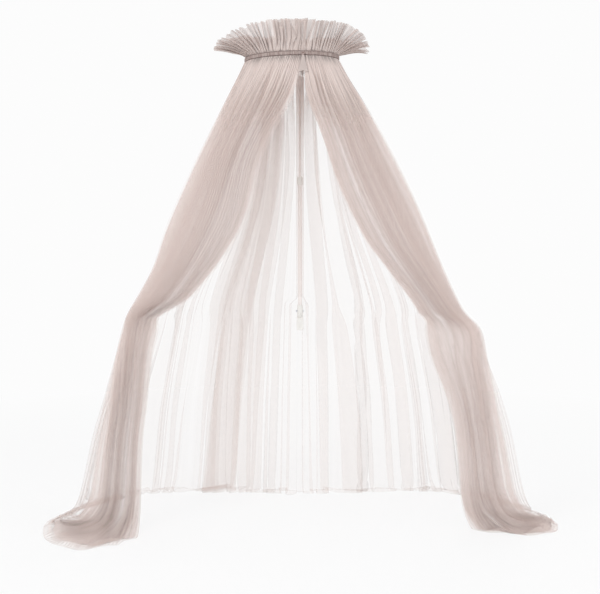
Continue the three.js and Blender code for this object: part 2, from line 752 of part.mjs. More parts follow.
const veilTopPoint = (place) => {
  const gap = openingHalfGap / hoopHalfWidth;
  const start = bowAngle - gap;
  const end = bowAngle + gap - fullTurn;
  const back = backAngle - fullTurn;
  const angle = place < 0 ? back + (back - start) * place : back + (end - back) * place;
  const point = loopPoint(angle, veilTopOut, veilTop);
  return point.applyAxisAngle(zAxis, crownTurn).add(new THREE.Vector3(0, 0, hoopAboveRail));
};

const smooth = (share) => {
  const s = Math.min(Math.max(share, 0), 1);
  return s * s * (3 - 2 * s);
};

const smoothVeil = (place, down) => {
  const levels = [veilTopPoint(place), ...veilPlans.map((plan) => plan.getPoint(planPlace(place)))];
  return new THREE.CatmullRomCurve3(levels).getPoint(down);
};

const veilPoint = (place, down) => {
  const stepShare = 0.002;
  const point = smoothVeil(place, down);
  const along = smoothVeil(place + stepShare, down).sub(smoothVeil(place - stepShare, down));
  const out = new THREE.Vector3(along.y, -along.x, 0).normalize().negate();
  const drift = foldDriftShare * Math.sin(place * veilFolds / 4);
  const wave = Math.cos((place / 2 + drift / veilFolds) * veilFolds * fullTurn);
  const sideShare = smooth((Math.abs(place) - 1 / 3) * 3);
  const depth = veilFoldDepth * (backFoldShare + (1 - backFoldShare) * sideShare);
  const fold = (veilFoldTop + (depth - veilFoldTop) * smooth(down / hangShare)) * wave;
  const floor = -railAboveFloor + clothThickness / 2;
  const ripple = veilRipple * smooth((down - hangShare) / (1 - hangShare) * 2) * (1 - wave) / 2;
  point.addScaledVector(out, fold);
  point.z = Math.max(point.z, floor + ripple);
  return point;
};

const veilPanel = (first, last) => {
  const seamShare = veilSeamGap / (hoopHalfWidth + hoopHalfDepth);
  const low = first === -1 ? first : first + seamShare;
  const high = last === 1 ? last : last - seamShare;
  const pointAt = (across, down) => veilPoint(low + (high - low) * across, down);
  return clothSolid(pointAt, veilColumns, veilRows, clothThickness);
};

// Assembly
const piece = (name, geometry, material) => {
  const mesh = new THREE.Mesh(geometry, material);
  mesh.name = name;
  return mesh;
};

const stand = new THREE.Group();
stand.add(
  piece('clamp_frame', clampFrame(), whitePlastic()),
  piece('jaw_liner', jawLiner(), greyRubber()),
  piece('lower_tube', lowerTube(), whiteLacquer()),
  piece('socket_bolt', socketBolt(), zincSteel()),
  piece('socket_nut', socketNut(), zincSteel()),
  piece('guide_bush', guideBush(), whitePlastic()),
  piece('lock_collar', lockCollar(), whitePlastic()),
);

const clampScrew = new THREE.Group();
clampScrew.add(
  piece('clamp_spindle', clampSpindle(), zincSteel()),
  piece('clamp_knob', clampKnob(), whitePlastic()),
  piece('knob_cap', knobCap(), whitePlastic()),
  piece('pressure_pad', pressurePad(), whitePlastic()),
  piece('pad_rubber', padRubber(), greyRubber()),
);

const poleTop = new THREE.Group();
poleTop.add(
  piece('upper_tube', upperTube(), whiteLacquer()),
  piece('tube_slider', tubeSlider(), whitePlastic()),
  piece('hoop_tee', hoopTee(), whitePlastic()),
  piece('tee_screw', teeScrew(), zincSteel()),
);

const crown = new THREE.Group();
crown.position.z = hoopAboveRail;
crown.rotation.z = crownTurn;
crown.add(
  piece('hoop_screw_left', grubScrew(-1), zincSteel()),
  piece('hoop_screw_right', grubScrew(1), zincSteel()),
  piece('crown_hoop', crownHoop(), whiteLacquer()),
  piece('gathered_casing', gatheredCasing(), voile()),
  piece('drawstring', drawstring(), voile()),
  piece('crown_ruffle', crownRuffle(), voile()),
);

const veil = new THREE.Group();
veil.add(
  piece('veil_left_panel', veilPanel(-1, -1 / 3), voile()),
  piece('veil_back_panel', veilPanel(-1 / 3, 1 / 3), voile()),
  piece('veil_right_panel', veilPanel(1 / 3, 1), voile()),
);

const canopy = new THREE.Group();
canopy.add(stand, clampScrew, poleTop, crown, veil);

export default canopy;
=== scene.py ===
"""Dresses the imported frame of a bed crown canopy: sheer voile that hangs from an
oval hoop in fine pleats, a pleated ruffle above it, a gathered casing with a
drawstring, and the finishes of the pole and the clamp. Metres, in the frame of
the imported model: +Z up, -Y towards the front of the bed."""

import json
import math

import bpy
import numpy as np
from bpy.props import FloatProperty, FloatVectorProperty, IntProperty, PointerProperty
from bpy.types import Operator, Panel, PropertyGroup
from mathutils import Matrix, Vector


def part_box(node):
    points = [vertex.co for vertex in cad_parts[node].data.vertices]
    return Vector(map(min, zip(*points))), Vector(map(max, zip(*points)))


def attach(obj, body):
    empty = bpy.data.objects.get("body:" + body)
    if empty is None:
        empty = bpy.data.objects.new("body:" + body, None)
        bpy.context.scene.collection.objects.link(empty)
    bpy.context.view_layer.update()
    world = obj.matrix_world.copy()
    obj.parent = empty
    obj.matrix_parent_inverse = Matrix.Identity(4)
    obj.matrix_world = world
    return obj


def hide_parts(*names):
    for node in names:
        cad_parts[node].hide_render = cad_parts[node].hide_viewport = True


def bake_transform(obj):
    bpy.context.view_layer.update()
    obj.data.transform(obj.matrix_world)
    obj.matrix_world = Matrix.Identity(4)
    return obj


bl_info = {
    "name": "Bed Crown Canopy",
    "version": (1, 0, 0),
    "blender": (4, 5, 0),
    "location": "View3D > Sidebar > Canopy",
    "description": "Dresses the frame of a bed crown canopy with its cloth and finishes",
    "category": "Add Mesh",
}

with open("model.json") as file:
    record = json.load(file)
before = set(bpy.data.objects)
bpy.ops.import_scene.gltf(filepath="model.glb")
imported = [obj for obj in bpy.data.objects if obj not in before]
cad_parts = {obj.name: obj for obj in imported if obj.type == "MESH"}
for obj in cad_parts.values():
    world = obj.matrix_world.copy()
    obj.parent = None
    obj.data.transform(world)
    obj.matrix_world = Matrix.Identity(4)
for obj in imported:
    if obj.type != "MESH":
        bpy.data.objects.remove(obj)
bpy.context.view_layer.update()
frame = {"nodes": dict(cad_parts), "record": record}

FULL_TURN = 2 * math.pi
BACK_ANGLE = math.pi / 2 - FULL_TURN
UP = np.array((0.0, 0.0, 1.0))

# Places in the veil run from -1, the left front edge, round the back to 1, the right
# one. Each plan is a share of the drop, then for each place the shares of the half
# spread and of the reach to the front or the back.
PLAN_PLACES = (-1, -0.8, -0.6, -1 / 3, 0, 1 / 3, 0.6, 0.8, 1)
VEIL_PLANS = (
    (0.31, (-0.232, -0.365, -0.473, -0.32, 0, 0.32, 0.445, 0.325, 0.172),
     (-0.474, -0.474, -0.263, 0.24, 0.45, 0.24, -0.263, -0.474, -0.474)),
    (0.553, (-0.53, -0.61, -0.648, -0.513, 0, 0.513, 0.622, 0.575, 0.469),
     (-0.553, -0.553, -0.289, 0.75, 0.89, 0.75, -0.289, -0.553, -0.553)),
    (0.6, (-0.547, -0.628, -0.67, -0.528, 0, 0.529, 0.7, 0.65, 0.5),
     (-0.564, -0.575, -0.303, 0.773, 0.905, 0.773, -0.308, -0.558, -0.553)),
    (0.776, (-0.61, -0.695, -0.752, -0.584, 0, 0.59, 0.772, 0.71, 0.584),
     (-0.605, -0.658, -0.355, 0.86, 0.96, 0.86, -0.38, -0.579, -0.553)),
    (0.965, (-0.62, -0.73, -0.82, -0.619, 0, 0.63, 0.832, 0.765, 0.62),
     (-0.658, -0.74, -0.434, 0.96, 1.03, 0.96, -0.434, -0.618, -0.566)),
    (1, (-0.62, -0.75, -0.895, -0.637, 0, 0.65, 0.92, 0.81, 0.65),
     (-0.763, -0.86, -0.46, 1.2, 1.24, 1.2, -0.46, -0.66, -0.605)),
    (1, (-0.635, -0.785, -0.955, -0.673, 0, 0.68, 0.965, 0.87, 0.685),
     (-0.9, -0.975, -0.53, 1.5, 1.5, 1.5, -0.52, -0.71, -0.658)),
)
ROWS_PER_SPAN = (26, 20, 6, 16, 17, 16, 17)
# The last span lies on the floor.
HANG_SHARE = 6 / 7
# The cloth's middle lies this far above the floor, and the veil's top below the casing.
CLOTH_CLEARANCE = 0.0012
SEAM_GAP = 0.0003
# The stage's floor lies this far below the hem's.
FLOOR_GAP = 0.0002

# Where the places move to: drawn to the front below the bed's end, and fanned out over
# the whole of each pool near the floor.
CORNER_PLACES = (-1, -0.6, -0.34, 0.34, 0.6, 1)
DRAWN_PLACES = (-1, -0.78, -0.34, 0.34, 0.75, 1)
FANNED_PLACES = (-1, -0.45, -0.34, 0.34, 0.45, 1)

# Where the cloth behind is bunched: a place, half the width and how much more cloth.
BUNCHES = ((-0.15, 0.08, 4.2), (0, 0.05, 1.4), (0.085, 0.035, 1.0))

# Moves of the veil's form: the curtains close below the hoop, the legs are wider above
# the floor, the left one reaches in, and at their heights the right side is drawn in to
# fall straight and the left one is hollow.
CLOSED_IN = 0.028
LEGS_WIDER = 0.03
LEFT_LEG_IN = 0.03
STRAIGHT_HEIGHT, STRAIGHT_IN = -0.12, 0.026
HOLLOW_HEIGHT, HOLLOW_IN = 0.24, 0.02
BEND_REACH = 0.13

# Each panel's first and last place, and its columns in each pleat.
PANELS = {"left": (-1, -1 / 3, 12), "back": (-1 / 3, 1 / 3, 26), "right": (1 / 3, 1, 12)}

# The hem's share of the drop, and how far hems stand off the cloth.
HEM_SHARE = 0.012
HEM_LIFT = 0.0006

# The least and the most that a gathered layer covers, what a seam adds, which also brings on
# painted shade there, the cover from which the voile is painted darker as painted shade, and its
# gloss.
GATHERED_COVERS = (0.02, 0.88)
SEAM_AND_SHADE_COVER = 0.1
PAINTED_SHADE_COVER = 0.93
CLOTH_GLOSS = {"sheen_weight": 0.25, "sheen_roughness": 0.5, "specular_ior_level": 0.15}

# The pole's pocket: half its width, as places, how far round the pole it closes, half
# the width of its neck, its top below the hoop and its foot above the rail, each with
# the height over which it ends. Elsewhere the cloth keeps clear of the pole.
POCKET_PLACES = 0.028
POCKET_CLOSES = math.radians(150)
POCKET_NECK = 0.004
POCKET_TOP, POCKET_TOP_END = 0.035, 0.03
POCKET_FOOT, POCKET_FOOT_END = 0.065, 0.05
POLE_CLEARANCE = 0.002

# The ruffle's mesh, how deep its pleats begin and how much deeper they get, how uneven
# its edge is, coarse and fine, and the notches there: a place and a depth.
PLEATS_PER_RUFFLE_FOLD = 4
COLUMNS_PER_RUFFLE_PLEAT = 24
RUFFLE_ROWS = 40
RUFFLE_PLEAT = 0.0012
RUFFLE_PLEAT_MORE = 0.009
RUFFLE_RAGGED = (0.0025, 0.0012)
RUFFLE_NOTCHES = ((0.9665, 0.05), (0.926, 0.03), (0.62, 0.02), (0.21, 0.02))
NOTCH_WIDTH = 0.0035

# The casing's flat length and width, the places of its two seams down that width, its
# gathers and how deep they are, how far each seam pulls it in, and its mesh.
CASING_FLAT = (1.5, 0.092)
SEAMS = (0.0573, 0.0737)
CASING_GATHERS = 250
GATHER_DEPTH = 0.0011
SEAM_PINCH = 0.0016
CASING_COLUMNS = 1500
CASING_SECTION = 28

# The drawstring: how far it lies outside the hoop's rod and below its plane, and the
# radius of the cord. The bow: how far it stands out, the radius of the knot's band, the
# tilt and the size of each turn of the knot. A tail: its flat width and length, then half
# its width, its way to the side and its way out, each at the knot and how much more at
# its end.
CORD_OUT = 0.0066
CORD_DROP = 0.0089
CORD_RADIUS = 0.0014
BOW_OUT = 0.0175
KNOT_RADIUS = 0.0021
KNOT_TURNS = ((0.5, 0.0052), (-0.5, 0.0052), (0.05, 0.0044))
TAIL_FLAT = (0.05, 0.076)
TAIL_HALF, TAIL_HALF_MORE = 0.0034, 0.0115
TAIL_ASIDE, TAIL_ASIDE_MORE = 0.0018, 0.0095
TAIL_PROUD, TAIL_PROUD_MORE = 0.002, 0.004

# The stage: the camera's place, and its focal length and shift in pixels of an image of
# this width. The white that the camera sees, its share near the canopy, and from where to
# where the rest is added. Where the lamps point, and each lamp's place, power and size.
CAMERA_PLACE = (0, -4.56, 0.31)
FOCAL_PIXELS = 987
SHIFT_PIXELS = -44
IMAGE_WIDTH = 600
SENSOR_WIDTH = 36
WHITE_SEEN = (0.975, 0.975, 0.975, 1)
WHITE_NEAR_SHARE = 0.75
WHITE_FADES = (1.2, 4.0)
LIT_POINT = (0, -0.1, 0.1)
LAMPS = {
    "key_light": ((-2.6, -3.6, 2.8), 72, 1.8),
    "fill_light": ((3.2, -2.6, 1.2), 30, 2.4),
    "rim_light": ((1.2, 3.0, 2.6), 26, 2.0),
}


def setting(kind, **limits):
    """Makes one kind of setting that a user can change, from its name, what it is and
    its default."""
    def made(name, description, default):
        return kind(name=name, description=description, default=default, **limits)

    return made


length = setting(FloatProperty, min=0, precision=4, subtype="DISTANCE", unit="LENGTH")
angle = setting(FloatProperty, subtype="ANGLE")
count = setting(IntProperty, min=1)
share = setting(FloatProperty, min=0, max=1, subtype="FACTOR")


def tint(name, description, red, green, blue):
    """A colour that a user can change, written as a screen shows it, from 0 to 255."""
    def linear(level):
        level /= 255
        return level / 12.92 if level <= 0.04045 else ((level + 0.055) / 1.055) ** 2.4

    return FloatVectorProperty(
        name=name, description=description, default=[linear(v) for v in (red, green, blue)],
        subtype="COLOR", min=0, max=1,
    )


class CanopySizes(PropertyGroup):
    """Sizes of the canopy's cloth. Those of the hoop repeat the frame's own."""

    floor_drop: length("Floor Below Rail", "The rail's height above the floor", 0.84)
    hoop_height: length("Hoop Above Rail", "The hoop's height above the rail", 1.179)
    hoop_half_width: length("Hoop Half Width", "Half the width of the oval hoop", 0.205)
    hoop_half_depth: length("Hoop Half Depth", "Half the depth of the oval hoop", 0.142)
    hoop_turn: angle("Hoop Turn", "How far the hoop is turned about the pole", math.radians(15.5))
    tee_reach: length("Tee Reach", "Half the hoop's straight back", 0.03)
    casing_half_depth: length("Casing Half Depth", "Half the thickness of the casing", 0.0117)
    casing_top: length("Casing Top", "Top of the casing above the hoop", 0.0083)
    casing_height: length("Casing Height", "Height of the gathered casing", 0.022)
    bow_offset: length("Bow Offset", "How far the bow is to the right", 0.085)
    opening_half_gap: length("Opening Half Gap", "Half the gap between the curtains", 0.012)
    veil_top_out: length("Veil Top Out", "How far its top is outside the hoop", 0.0105)
    veil_half_spread: length("Veil Half Spread", "Reach of the veil to each side", 1.13)
    veil_forward: length("Veil Forward", "Reach of the veil to the front", 0.76)
    veil_back: length("Veil Back", "Reach of the veil behind the pole", 0.1337)
    veil_swoop: length("Veil Swoop", "How far the left curtain swings in", 0.085)
    veil_draw: length("Veil Draw", "How far the right curtain is drawn in", 0.02)
    back_cloth: length("Cloth Behind", "Cloth in each share behind", 2.4)
    front_cloth: length("Cloth in Front", "Cloth in each share of the curtains", 6.4)
    back_pleat: length("Pleat Behind", "Cloth taken up by one pleat behind", 0.156)
    front_pleat: length("Pleat in Front", "Cloth taken up by one pleat in front", 0.057)
    ruffle_width: length("Ruffle Cut Width", "Its width before it is gathered", 5.4)
    veil_folds: count("Main Folds", "Main folds of the veil", 18)
    fold_top: length("Fold Depth at Hoop", "Depth of the main folds at the hoop", 0.0012)
    fold_depth: length("Fold Depth", "Depth of the main folds above the floor", 0.026)
    ripple: length("Ripple", "Height of the ripples on the floor", 0.022)
    hem: length("Hem", "Width of the hems", 0.01)
    pocket_radius: length("Pole Pocket Radius", "Radius of the pole's pocket", 0.018)
    ruffle_length: length("Ruffle Length", "Its length above the casing", 0.144)
    ruffle_front_flare: angle("Ruffle Front Flare", "Flare in front", math.radians(24))
    ruffle_side_flare: angle("Ruffle Side Flare", "Flare at the sides", math.radians(76))
    ruffle_spread: count("Ruffle Spread", "How late the flare grows to the sides", 7)
    ruffle_folds: count("Ruffle Folds", "Main folds of the ruffle", 21)
    ruffle_fold_depth: length("Ruffle Fold Depth", "Depth of the ruffle's main folds", 0.011)


class CanopyColours(PropertyGroup):
    """Colours and sheerness of the canopy."""

    voile: tint("Voile", "Colour of the sheer cloth", 230, 215, 209)
    stitch: tint("Stitching", "Colour of the thread and the cord", 168, 142, 136)
    lacquer: tint("Lacquer", "Colour of the tubes and the hoop", 245, 238, 235)
    plastic: tint("Plastic", "Colour of the moulded pieces", 238, 236, 232)
    rubber: tint("Rubber", "Colour of the liner and the pad", 141, 139, 136)
    zinc: tint("Zinc", "Colour of the plated steel", 201, 204, 208)
    back_cover: share("Cover Behind", "Cover of one layer behind", 0.105)
    front_cover: share("Cover in Front", "Cover of one layer in front", 0.16)
    ruffle_cover: share("Ruffle Cover", "Cover of one layer at the edge", 0.6)
    hem_cover: share("Hem Cover", "Cover of a hem", 0.06)


# Curves and noise

def eased(value):
    """A smooth step from 0 to 1."""
    value = np.clip(value, 0, 1)
    return value * value * (3 - 2 * value)


def rise(value, start, width):
    """A smooth step that starts at a value and is over after a width."""
    return eased((value - start) / width)


def bell(value, middle, width):
    """1 at the middle, falling away on both sides."""
    return np.exp(-(((value - middle) / width) ** 2))


def on_curve(points, shares):
    """Points at shares of a smooth curve through points, a centripetal one."""
    points, shares = np.asarray(points, float), np.asarray(shares)
    first, last = 2 * points[0] - points[1], 2 * points[-1] - points[-2]
    padded = np.concatenate([first[None], points, last[None]])
    spans = len(points) - 1
    index = np.minimum((shares * spans).astype(int), spans - 1)
    within = shares * spans - index
    within = within.reshape(within.shape + (1,) * (points.ndim - 1))
    p0, p1, p2, p3 = (padded[index + k] for k in range(4))
    d0, d1, d2 = (
        np.sqrt(np.linalg.norm(b - a, axis=-1, keepdims=True))
        for a, b in ((p0, p1), (p1, p2), (p2, p3))
    )
    leave = ((p1 - p0) / d0 - (p2 - p0) / (d0 + d1) + (p2 - p1) / d1) * d1
    reach = ((p2 - p1) / d1 - (p3 - p1) / (d1 + d2) + (p3 - p2) / d2) * d1
    square = -3 * p1 + 3 * p2 - 2 * leave - reach
    cube = 2 * p1 - 2 * p2 + leave + reach
    return p1 + within * (leave + within * (square + within * cube))


def wander(seed, across, down, across_waves, down_waves, terms=7):
    """Smooth noise of about -1 to 1 over two shares, the same at each run."""
    draw = np.random.default_rng(seed)
    total = 0
    for _ in range(terms):
        wide = draw.uniform(*across_waves) * FULL_TURN
        tall = draw.uniform(*down_waves) * FULL_TURN
        total = total + np.sin(wide * across + tall * down + draw.uniform(0, FULL_TURN))
    return total / math.sqrt(terms)


# The hoop and the veil's smooth form

def loop_points(sizes, turn, out, height):
    """Points round the hoop, out from its rod and above its plane."""
    # The oval's middle lies in front of the pole, and its back is flat at the tee.
    tee_share = sizes.tee_reach / sizes.hoop_half_width
    middle = -sizes.hoop_half_depth * math.sqrt(1 - tee_share ** 2)
    x = (sizes.hoop_half_width + out) * np.cos(turn)
    y = np.minimum(middle + (sizes.hoop_half_depth + out) * np.sin(turn), out)
    c, s = math.cos(sizes.hoop_turn), math.sin(sizes.hoop_turn)
    z = sizes.hoop_height + height + 0 * x
    return np.stack([c * x + s * y, c * y - s * x, z], axis=-1)


def bow_turn(sizes):
    """The bow's place on the hoop, as a turn from the hoop's own front."""
    return math.asin(sizes.bow_offset / sizes.hoop_half_width)


def turn_at(sizes, places):
    """The angle round the hoop of each place in the veil."""
    bow = bow_turn(sizes) - math.pi / 2
    gap = sizes.opening_half_gap / sizes.hoop_half_width
    left, right = bow - gap, bow + gap - FULL_TURN
    return BACK_ANGLE + np.where(places < 0, BACK_ANGLE - left, right - BACK_ANGLE) * places


def smooth_veil(sizes, places, downs):
    """The veil without folds: rows of points, one row for each share down."""
    top = sizes.casing_top - sizes.casing_height - SEAM_GAP
    drop = sizes.hoop_height + top + sizes.floor_drop
    levels = [loop_points(sizes, turn_at(sizes, places), sizes.veil_top_out, top)]
    along_curve = np.interp(places, PLAN_PLACES, np.linspace(0, 1, len(PLAN_PLACES)))
    for share_down, across, along in VEIL_PLANS:
        plan = [
            (
                wide * sizes.veil_half_spread,
                deep * (sizes.veil_forward if deep < 0 else sizes.veil_back),
                sizes.hoop_height + top - share_down * drop + CLOTH_CLEARANCE,
            )
            for wide, deep in zip(across, along)
        ]
        levels.append(on_curve(plan, along_curve))
    points = on_curve(np.stack(levels), downs)
    # Above the bed's ends the curtains' inner edges come further in.
    for edge, reach, (begins, grown), (ends, fading) in (
        (-1, sizes.veil_swoop, (0.09, 0.1), (0.3, 0.045)),
        (1, -sizes.veil_draw, (0.14, 0.06), (0.33, 0.05)),
    ):
        inner = rise(edge * places, 0.6, 0.4)[None, :]
        hanging = rise(downs, begins, grown) * eased((ends - downs) / fading)
        points[..., 0] += reach * inner * hanging[:, None]
    return points


def unit(vectors):
    """The same vectors, one metre long."""
    return vectors / np.maximum(np.linalg.norm(vectors, axis=-1, keepdims=True), 1e-12)


def frontness(places):
    """0 behind and at the sides, and 1 in the curtains in front."""
    return rise(np.abs(places), 0.61, 0.12)


def between(level, first, second):
    """A number between two numbers."""
    return first + (second - first) * level


def cloth_rate(sizes, places):
    """Metres of cloth in each share of the veil."""
    bunched = sum(
        more * eased(2 - 2 * np.abs(places - middle) / half) for middle, half, more in BUNCHES
    )
    fuller = 1.1 - 0.22 * rise(np.abs(places), 0.68, 0.32)
    return between(frontness(places), sizes.back_cloth * (1 + bunched), sizes.front_cloth * fuller)


def pleat_cloth(sizes, places):
    """Metres of cloth in one pleat."""
    return between(rise(np.abs(places), 0.36, 0.2), sizes.back_pleat, sizes.front_pleat)


def summed_along(sizes):
    """Places in the veil, and the metres of cloth and the pleats from the middle of the
    back to each."""
    places = np.linspace(-1, 1, 4001)
    rate = cloth_rate(sizes, places)
    totals = []
    for values in (rate, rate / pleat_cloth(sizes, places)):
        steps = (values[1:] + values[:-1]) / 2 * np.diff(places)
        total = np.concatenate([[0], np.cumsum(steps)])
        totals.append(total - np.interp(0, places, total))
    return places, *totals


def places_evenly(sizes, first, last, columns):
    """Places from first to last, with so many columns in each pleat."""
    places, _, pleats = summed_along(sizes)
    low, high = np.interp((first, last), places, pleats)
    steps = round((high - low) * columns)
    return np.interp(np.linspace(low, high, steps + 1), pleats, places)


def picked(values, at):
    """Values of a fine grid of places, at each row's own places."""
    count = values.shape[1] - 1
    spot = np.clip((at + 1) / 2 * count, 0, count)
    low = np.minimum(spot.astype(int), count - 1)
    within = spot - low
    row = np.arange(len(values))[:, None]
    if values.ndim == 3:
        within = within[..., None]
    return values[row, low] * (1 - within) + values[row, low + 1] * within


def moved_places(across, down):
    """The place on the smooth form of each place in the cloth, and its share of the drop."""
    spans = np.linspace(0, 1, len(VEIL_PLANS) + 1)
    drop = np.interp(down, spans, (0, *(plan[0] for plan in VEIL_PLANS)))
    drawn = np.interp(across, CORNER_PLACES, DRAWN_PLACES)
    fanned = np.interp(across, CORNER_PLACES, FANNED_PLACES)
    at = across + (drawn - across) * rise(drop, 0.54, 0.24)
    return at + (fanned - at) * rise(down, 0.66, 0.2), drop


def smooth_form(sizes, across, at, downs):
    """The smooth form under the cloth: points, the ways along and down, and the pace."""
    step = 0.002
    grid = np.linspace(-1, 1, 1601)
    smooth = smooth_veil(sizes, grid, downs)
    below = smooth_veil(sizes, grid, np.minimum(downs + step, 1))
    above = smooth_veil(sizes, grid, np.maximum(downs - step, 0))
    along = picked(np.gradient(smooth, grid[1] - grid[0], axis=1), at)
    stretch = np.gradient(at, axis=1) / np.gradient(across, axis=1)
    pace = np.linalg.norm(along, axis=-1) * stretch
    return picked(smooth, at), unit(along), unit(picked(below - above, at)), pace


def main_folds(sizes, across, down, on_floor):
    """The main folds' wave, and how far they stand out."""
    drift = 0.1 * np.sin(across * sizes.veil_folds / 4)
    phase = (across / 2 + drift / sizes.veil_folds) * sizes.veil_folds * FULL_TURN
    wave = np.cos(phase + 0.6 * wander(3, across, down, (0.5, 2.5), (0, 0.6)))
    side = eased((np.abs(across) - 1 / 3) * 3)
    depth = sizes.fold_depth * (0.3 + 0.1 * side) * (1 - 0.5 * on_floor)
    return wave, (sizes.fold_top + (depth - sizes.fold_top) * eased(down / HANG_SHARE)) * wave


def fine_pleats(sizes, places, across, down, pace, on_floor):
    """The fine pleats' phase, depth and sway to the side."""
    front = frontness(across)
    cloth = pleat_cloth(sizes, across)
    pitch = pace * cloth / cloth_rate(sizes, across)
    grid, _, pleats = summed_along(sizes)
    fine = (np.interp(places, grid, pleats)[None, :] + 0 * down) * FULL_TURN
    fine = fine + between(front, 1.5, 1.2) * wander(5, across, down, (3, 11), (0, 0.5))
    fine = fine + between(front, 0.9, 0.8) * wander(6, across, down, (14, 34), (0.1, 0.7))
    # The depth takes up the cloth that the pitch leaves over, unevenly, and each pleat
    # begins at its own height below the hoop.
    taut = 0.86 * np.sqrt(np.maximum(cloth ** 2 - pitch ** 2, (0.15 * cloth) ** 2)) / 4
    even = 1 + between(front, 0.75, 0.3) * wander(9, across, down, (8, 30), (0, 0.8))
    begins = 0.085 * np.clip(1 + 0.5 * wander(12, across, 0, (15, 60), (0, 0)), 0.35, 1.9)
    pleat = taut * np.clip(even, 0.08, 1.7) * (0.12 + 0.88 * eased(down / begins))
    # The pleats lie over towards the middle of the back, in the legs most of all.
    lying = np.clip(1 + 0.3 * wander(8, across, down, (3, 12), (0, 0.5)), 0.5, 1.6)
    loose = np.clip(1 + 0.8 * wander(7, across, down, (4, 16), (0, 0.3)), 0.1, 2.2)
    leg = rise(down, 0.3, 0.12) * (1 - on_floor)
    lying = lying * (1 + 0.8 * leg * rise(np.abs(across), 0.74, 0.1))
    lying = -between(front, loose, lying) * np.tanh(12 * across)
    sway = lying * pleat * np.cos(fine) + 0.16 * pitch * np.sin(2 * fine)
    return fine, pleat * between(front, 0.6, 1), sway


def veil_points(sizes, places, downs, lift=0.0):
    """The veil with its main folds and fine pleats, at a distance lift off the cloth."""
    across = places[None, :] + 0 * downs[:, None]
    down = downs[:, None] + 0 * across
    on_floor = eased((down - HANG_SHARE) / (1 - HANG_SHARE) * 1.6)
    at, drop = moved_places(across, down)
    points, along, fall, pace = smooth_form(sizes, across, at, downs)
    outward = unit(np.stack([-along[..., 1], along[..., 0], 0 * along[..., 0]], axis=-1))
    wave, fold = main_folds(sizes, across, down, on_floor)
    fine, pleat, sway = fine_pleats(sizes, places, across, down, pace, on_floor)

    face = unit(np.cross(along, fall))
    face = face * np.sign(np.sum(face * outward, axis=-1) + 1e-9)[..., None]
    face = np.where((on_floor > 0)[..., None], face * np.sign(face[..., 2:3] + 0.3), face)
    # Just below the hoop the curtains close in the middle.
    closing = CLOSED_IN * bell(down, 0.035, 0.035)
    closing = closing * eased((np.abs(across) - 0.75) * 4) * np.sign(across)
    # Behind and at the sides the pleats lie inside the smooth form.
    inset = pleat * (1 - frontness(across))
    inset = inset * (0.5 + 0.5 * wander(10, across, down, (6, 20), (0, 1)))
    lower = np.where(across < 0, 0.3, 0.2)
    inset = inset * rise(down, 0.08, 0.08) * (1 - rise(down, lower, 0.06))
    # Above the floor the legs are wider, and the left one also reaches further in.
    hangs = 1 - on_floor
    wider = LEGS_WIDER * rise(drop, 0.68, 0.25) * hangs * rise(np.abs(at), 0.4, 0.15)
    wider = wider * (1 - rise(np.abs(at), 0.78, 0.1))
    points = points + outward * (fold - inset + wider)[..., None]
    points[..., 0] += LEFT_LEG_IN * rise(drop, 0.62, 0.15) * hangs * rise(-across, 0.7, 0.3)
    points, pocket = pocketed(sizes, points, across)
    hem = rise(down, 0.93, 0.06)
    proud = pleat * np.cos(fine) * (1 - 0.7 * on_floor) * (1 - pocket) + lift
    points = points + face * proud[..., None]
    points = points + along * (sway * (1 - pocket) * (1 - 0.7 * hem) + closing)[..., None]
    # At the bed's end the right side falls straight, and above it the left one hollows.
    height = points[..., 2]
    straight = bell(height, STRAIGHT_HEIGHT, BEND_REACH) * rise(across, 0.3, 0.25)
    hollow = bell(height, HOLLOW_HEIGHT, BEND_REACH) * rise(-across, 0.3, 0.25)
    points[..., 0] += HOLLOW_IN * hollow - STRAIGHT_IN * straight

    ripple = sizes.ripple * on_floor * (1 - wave) / 2
    ripple = (ripple + 0.4 * pleat * (1 + np.cos(fine)) * on_floor) * (1 - 0.8 * hem)
    floor = -sizes.floor_drop + CLOTH_CLEARANCE
    points[..., 2] = np.maximum(points[..., 2], floor + ripple * 0.8 + lift)
    return clear_of_pole(points)


def pocketed(sizes, points, across):
    """The same points, with those in the middle of the back led round the pole, and how
    far each of them is led."""
    turns = across / POCKET_PLACES
    away = np.abs(turns)
    height = points[..., 2]
    share = eased((sizes.hoop_height - POCKET_TOP - height) / POCKET_TOP_END)
    share = share * rise(height, POCKET_FOOT, POCKET_FOOT_END) * (away < 1.8)
    radius = sizes.pocket_radius
    bend = np.clip(away / 0.6, 0, 1) * POCKET_CLOSES
    side = np.sign(turns)
    ring = np.stack([side * radius * np.sin(bend), -radius * np.cos(bend)], axis=-1)
    neck = np.stack([side * POCKET_NECK, points[..., 1] - POCKET_NECK], axis=-1)
    path = ring + (neck - ring) * rise(away, 0.6, 0.4)[..., None]
    path = path + (points[..., :2] - path) * rise(away, 1, 0.8)[..., None]
    points = points.copy()
    points[..., :2] += (path - points[..., :2]) * share[..., None]
    return points, share * eased((1.8 - away) * 1.6)


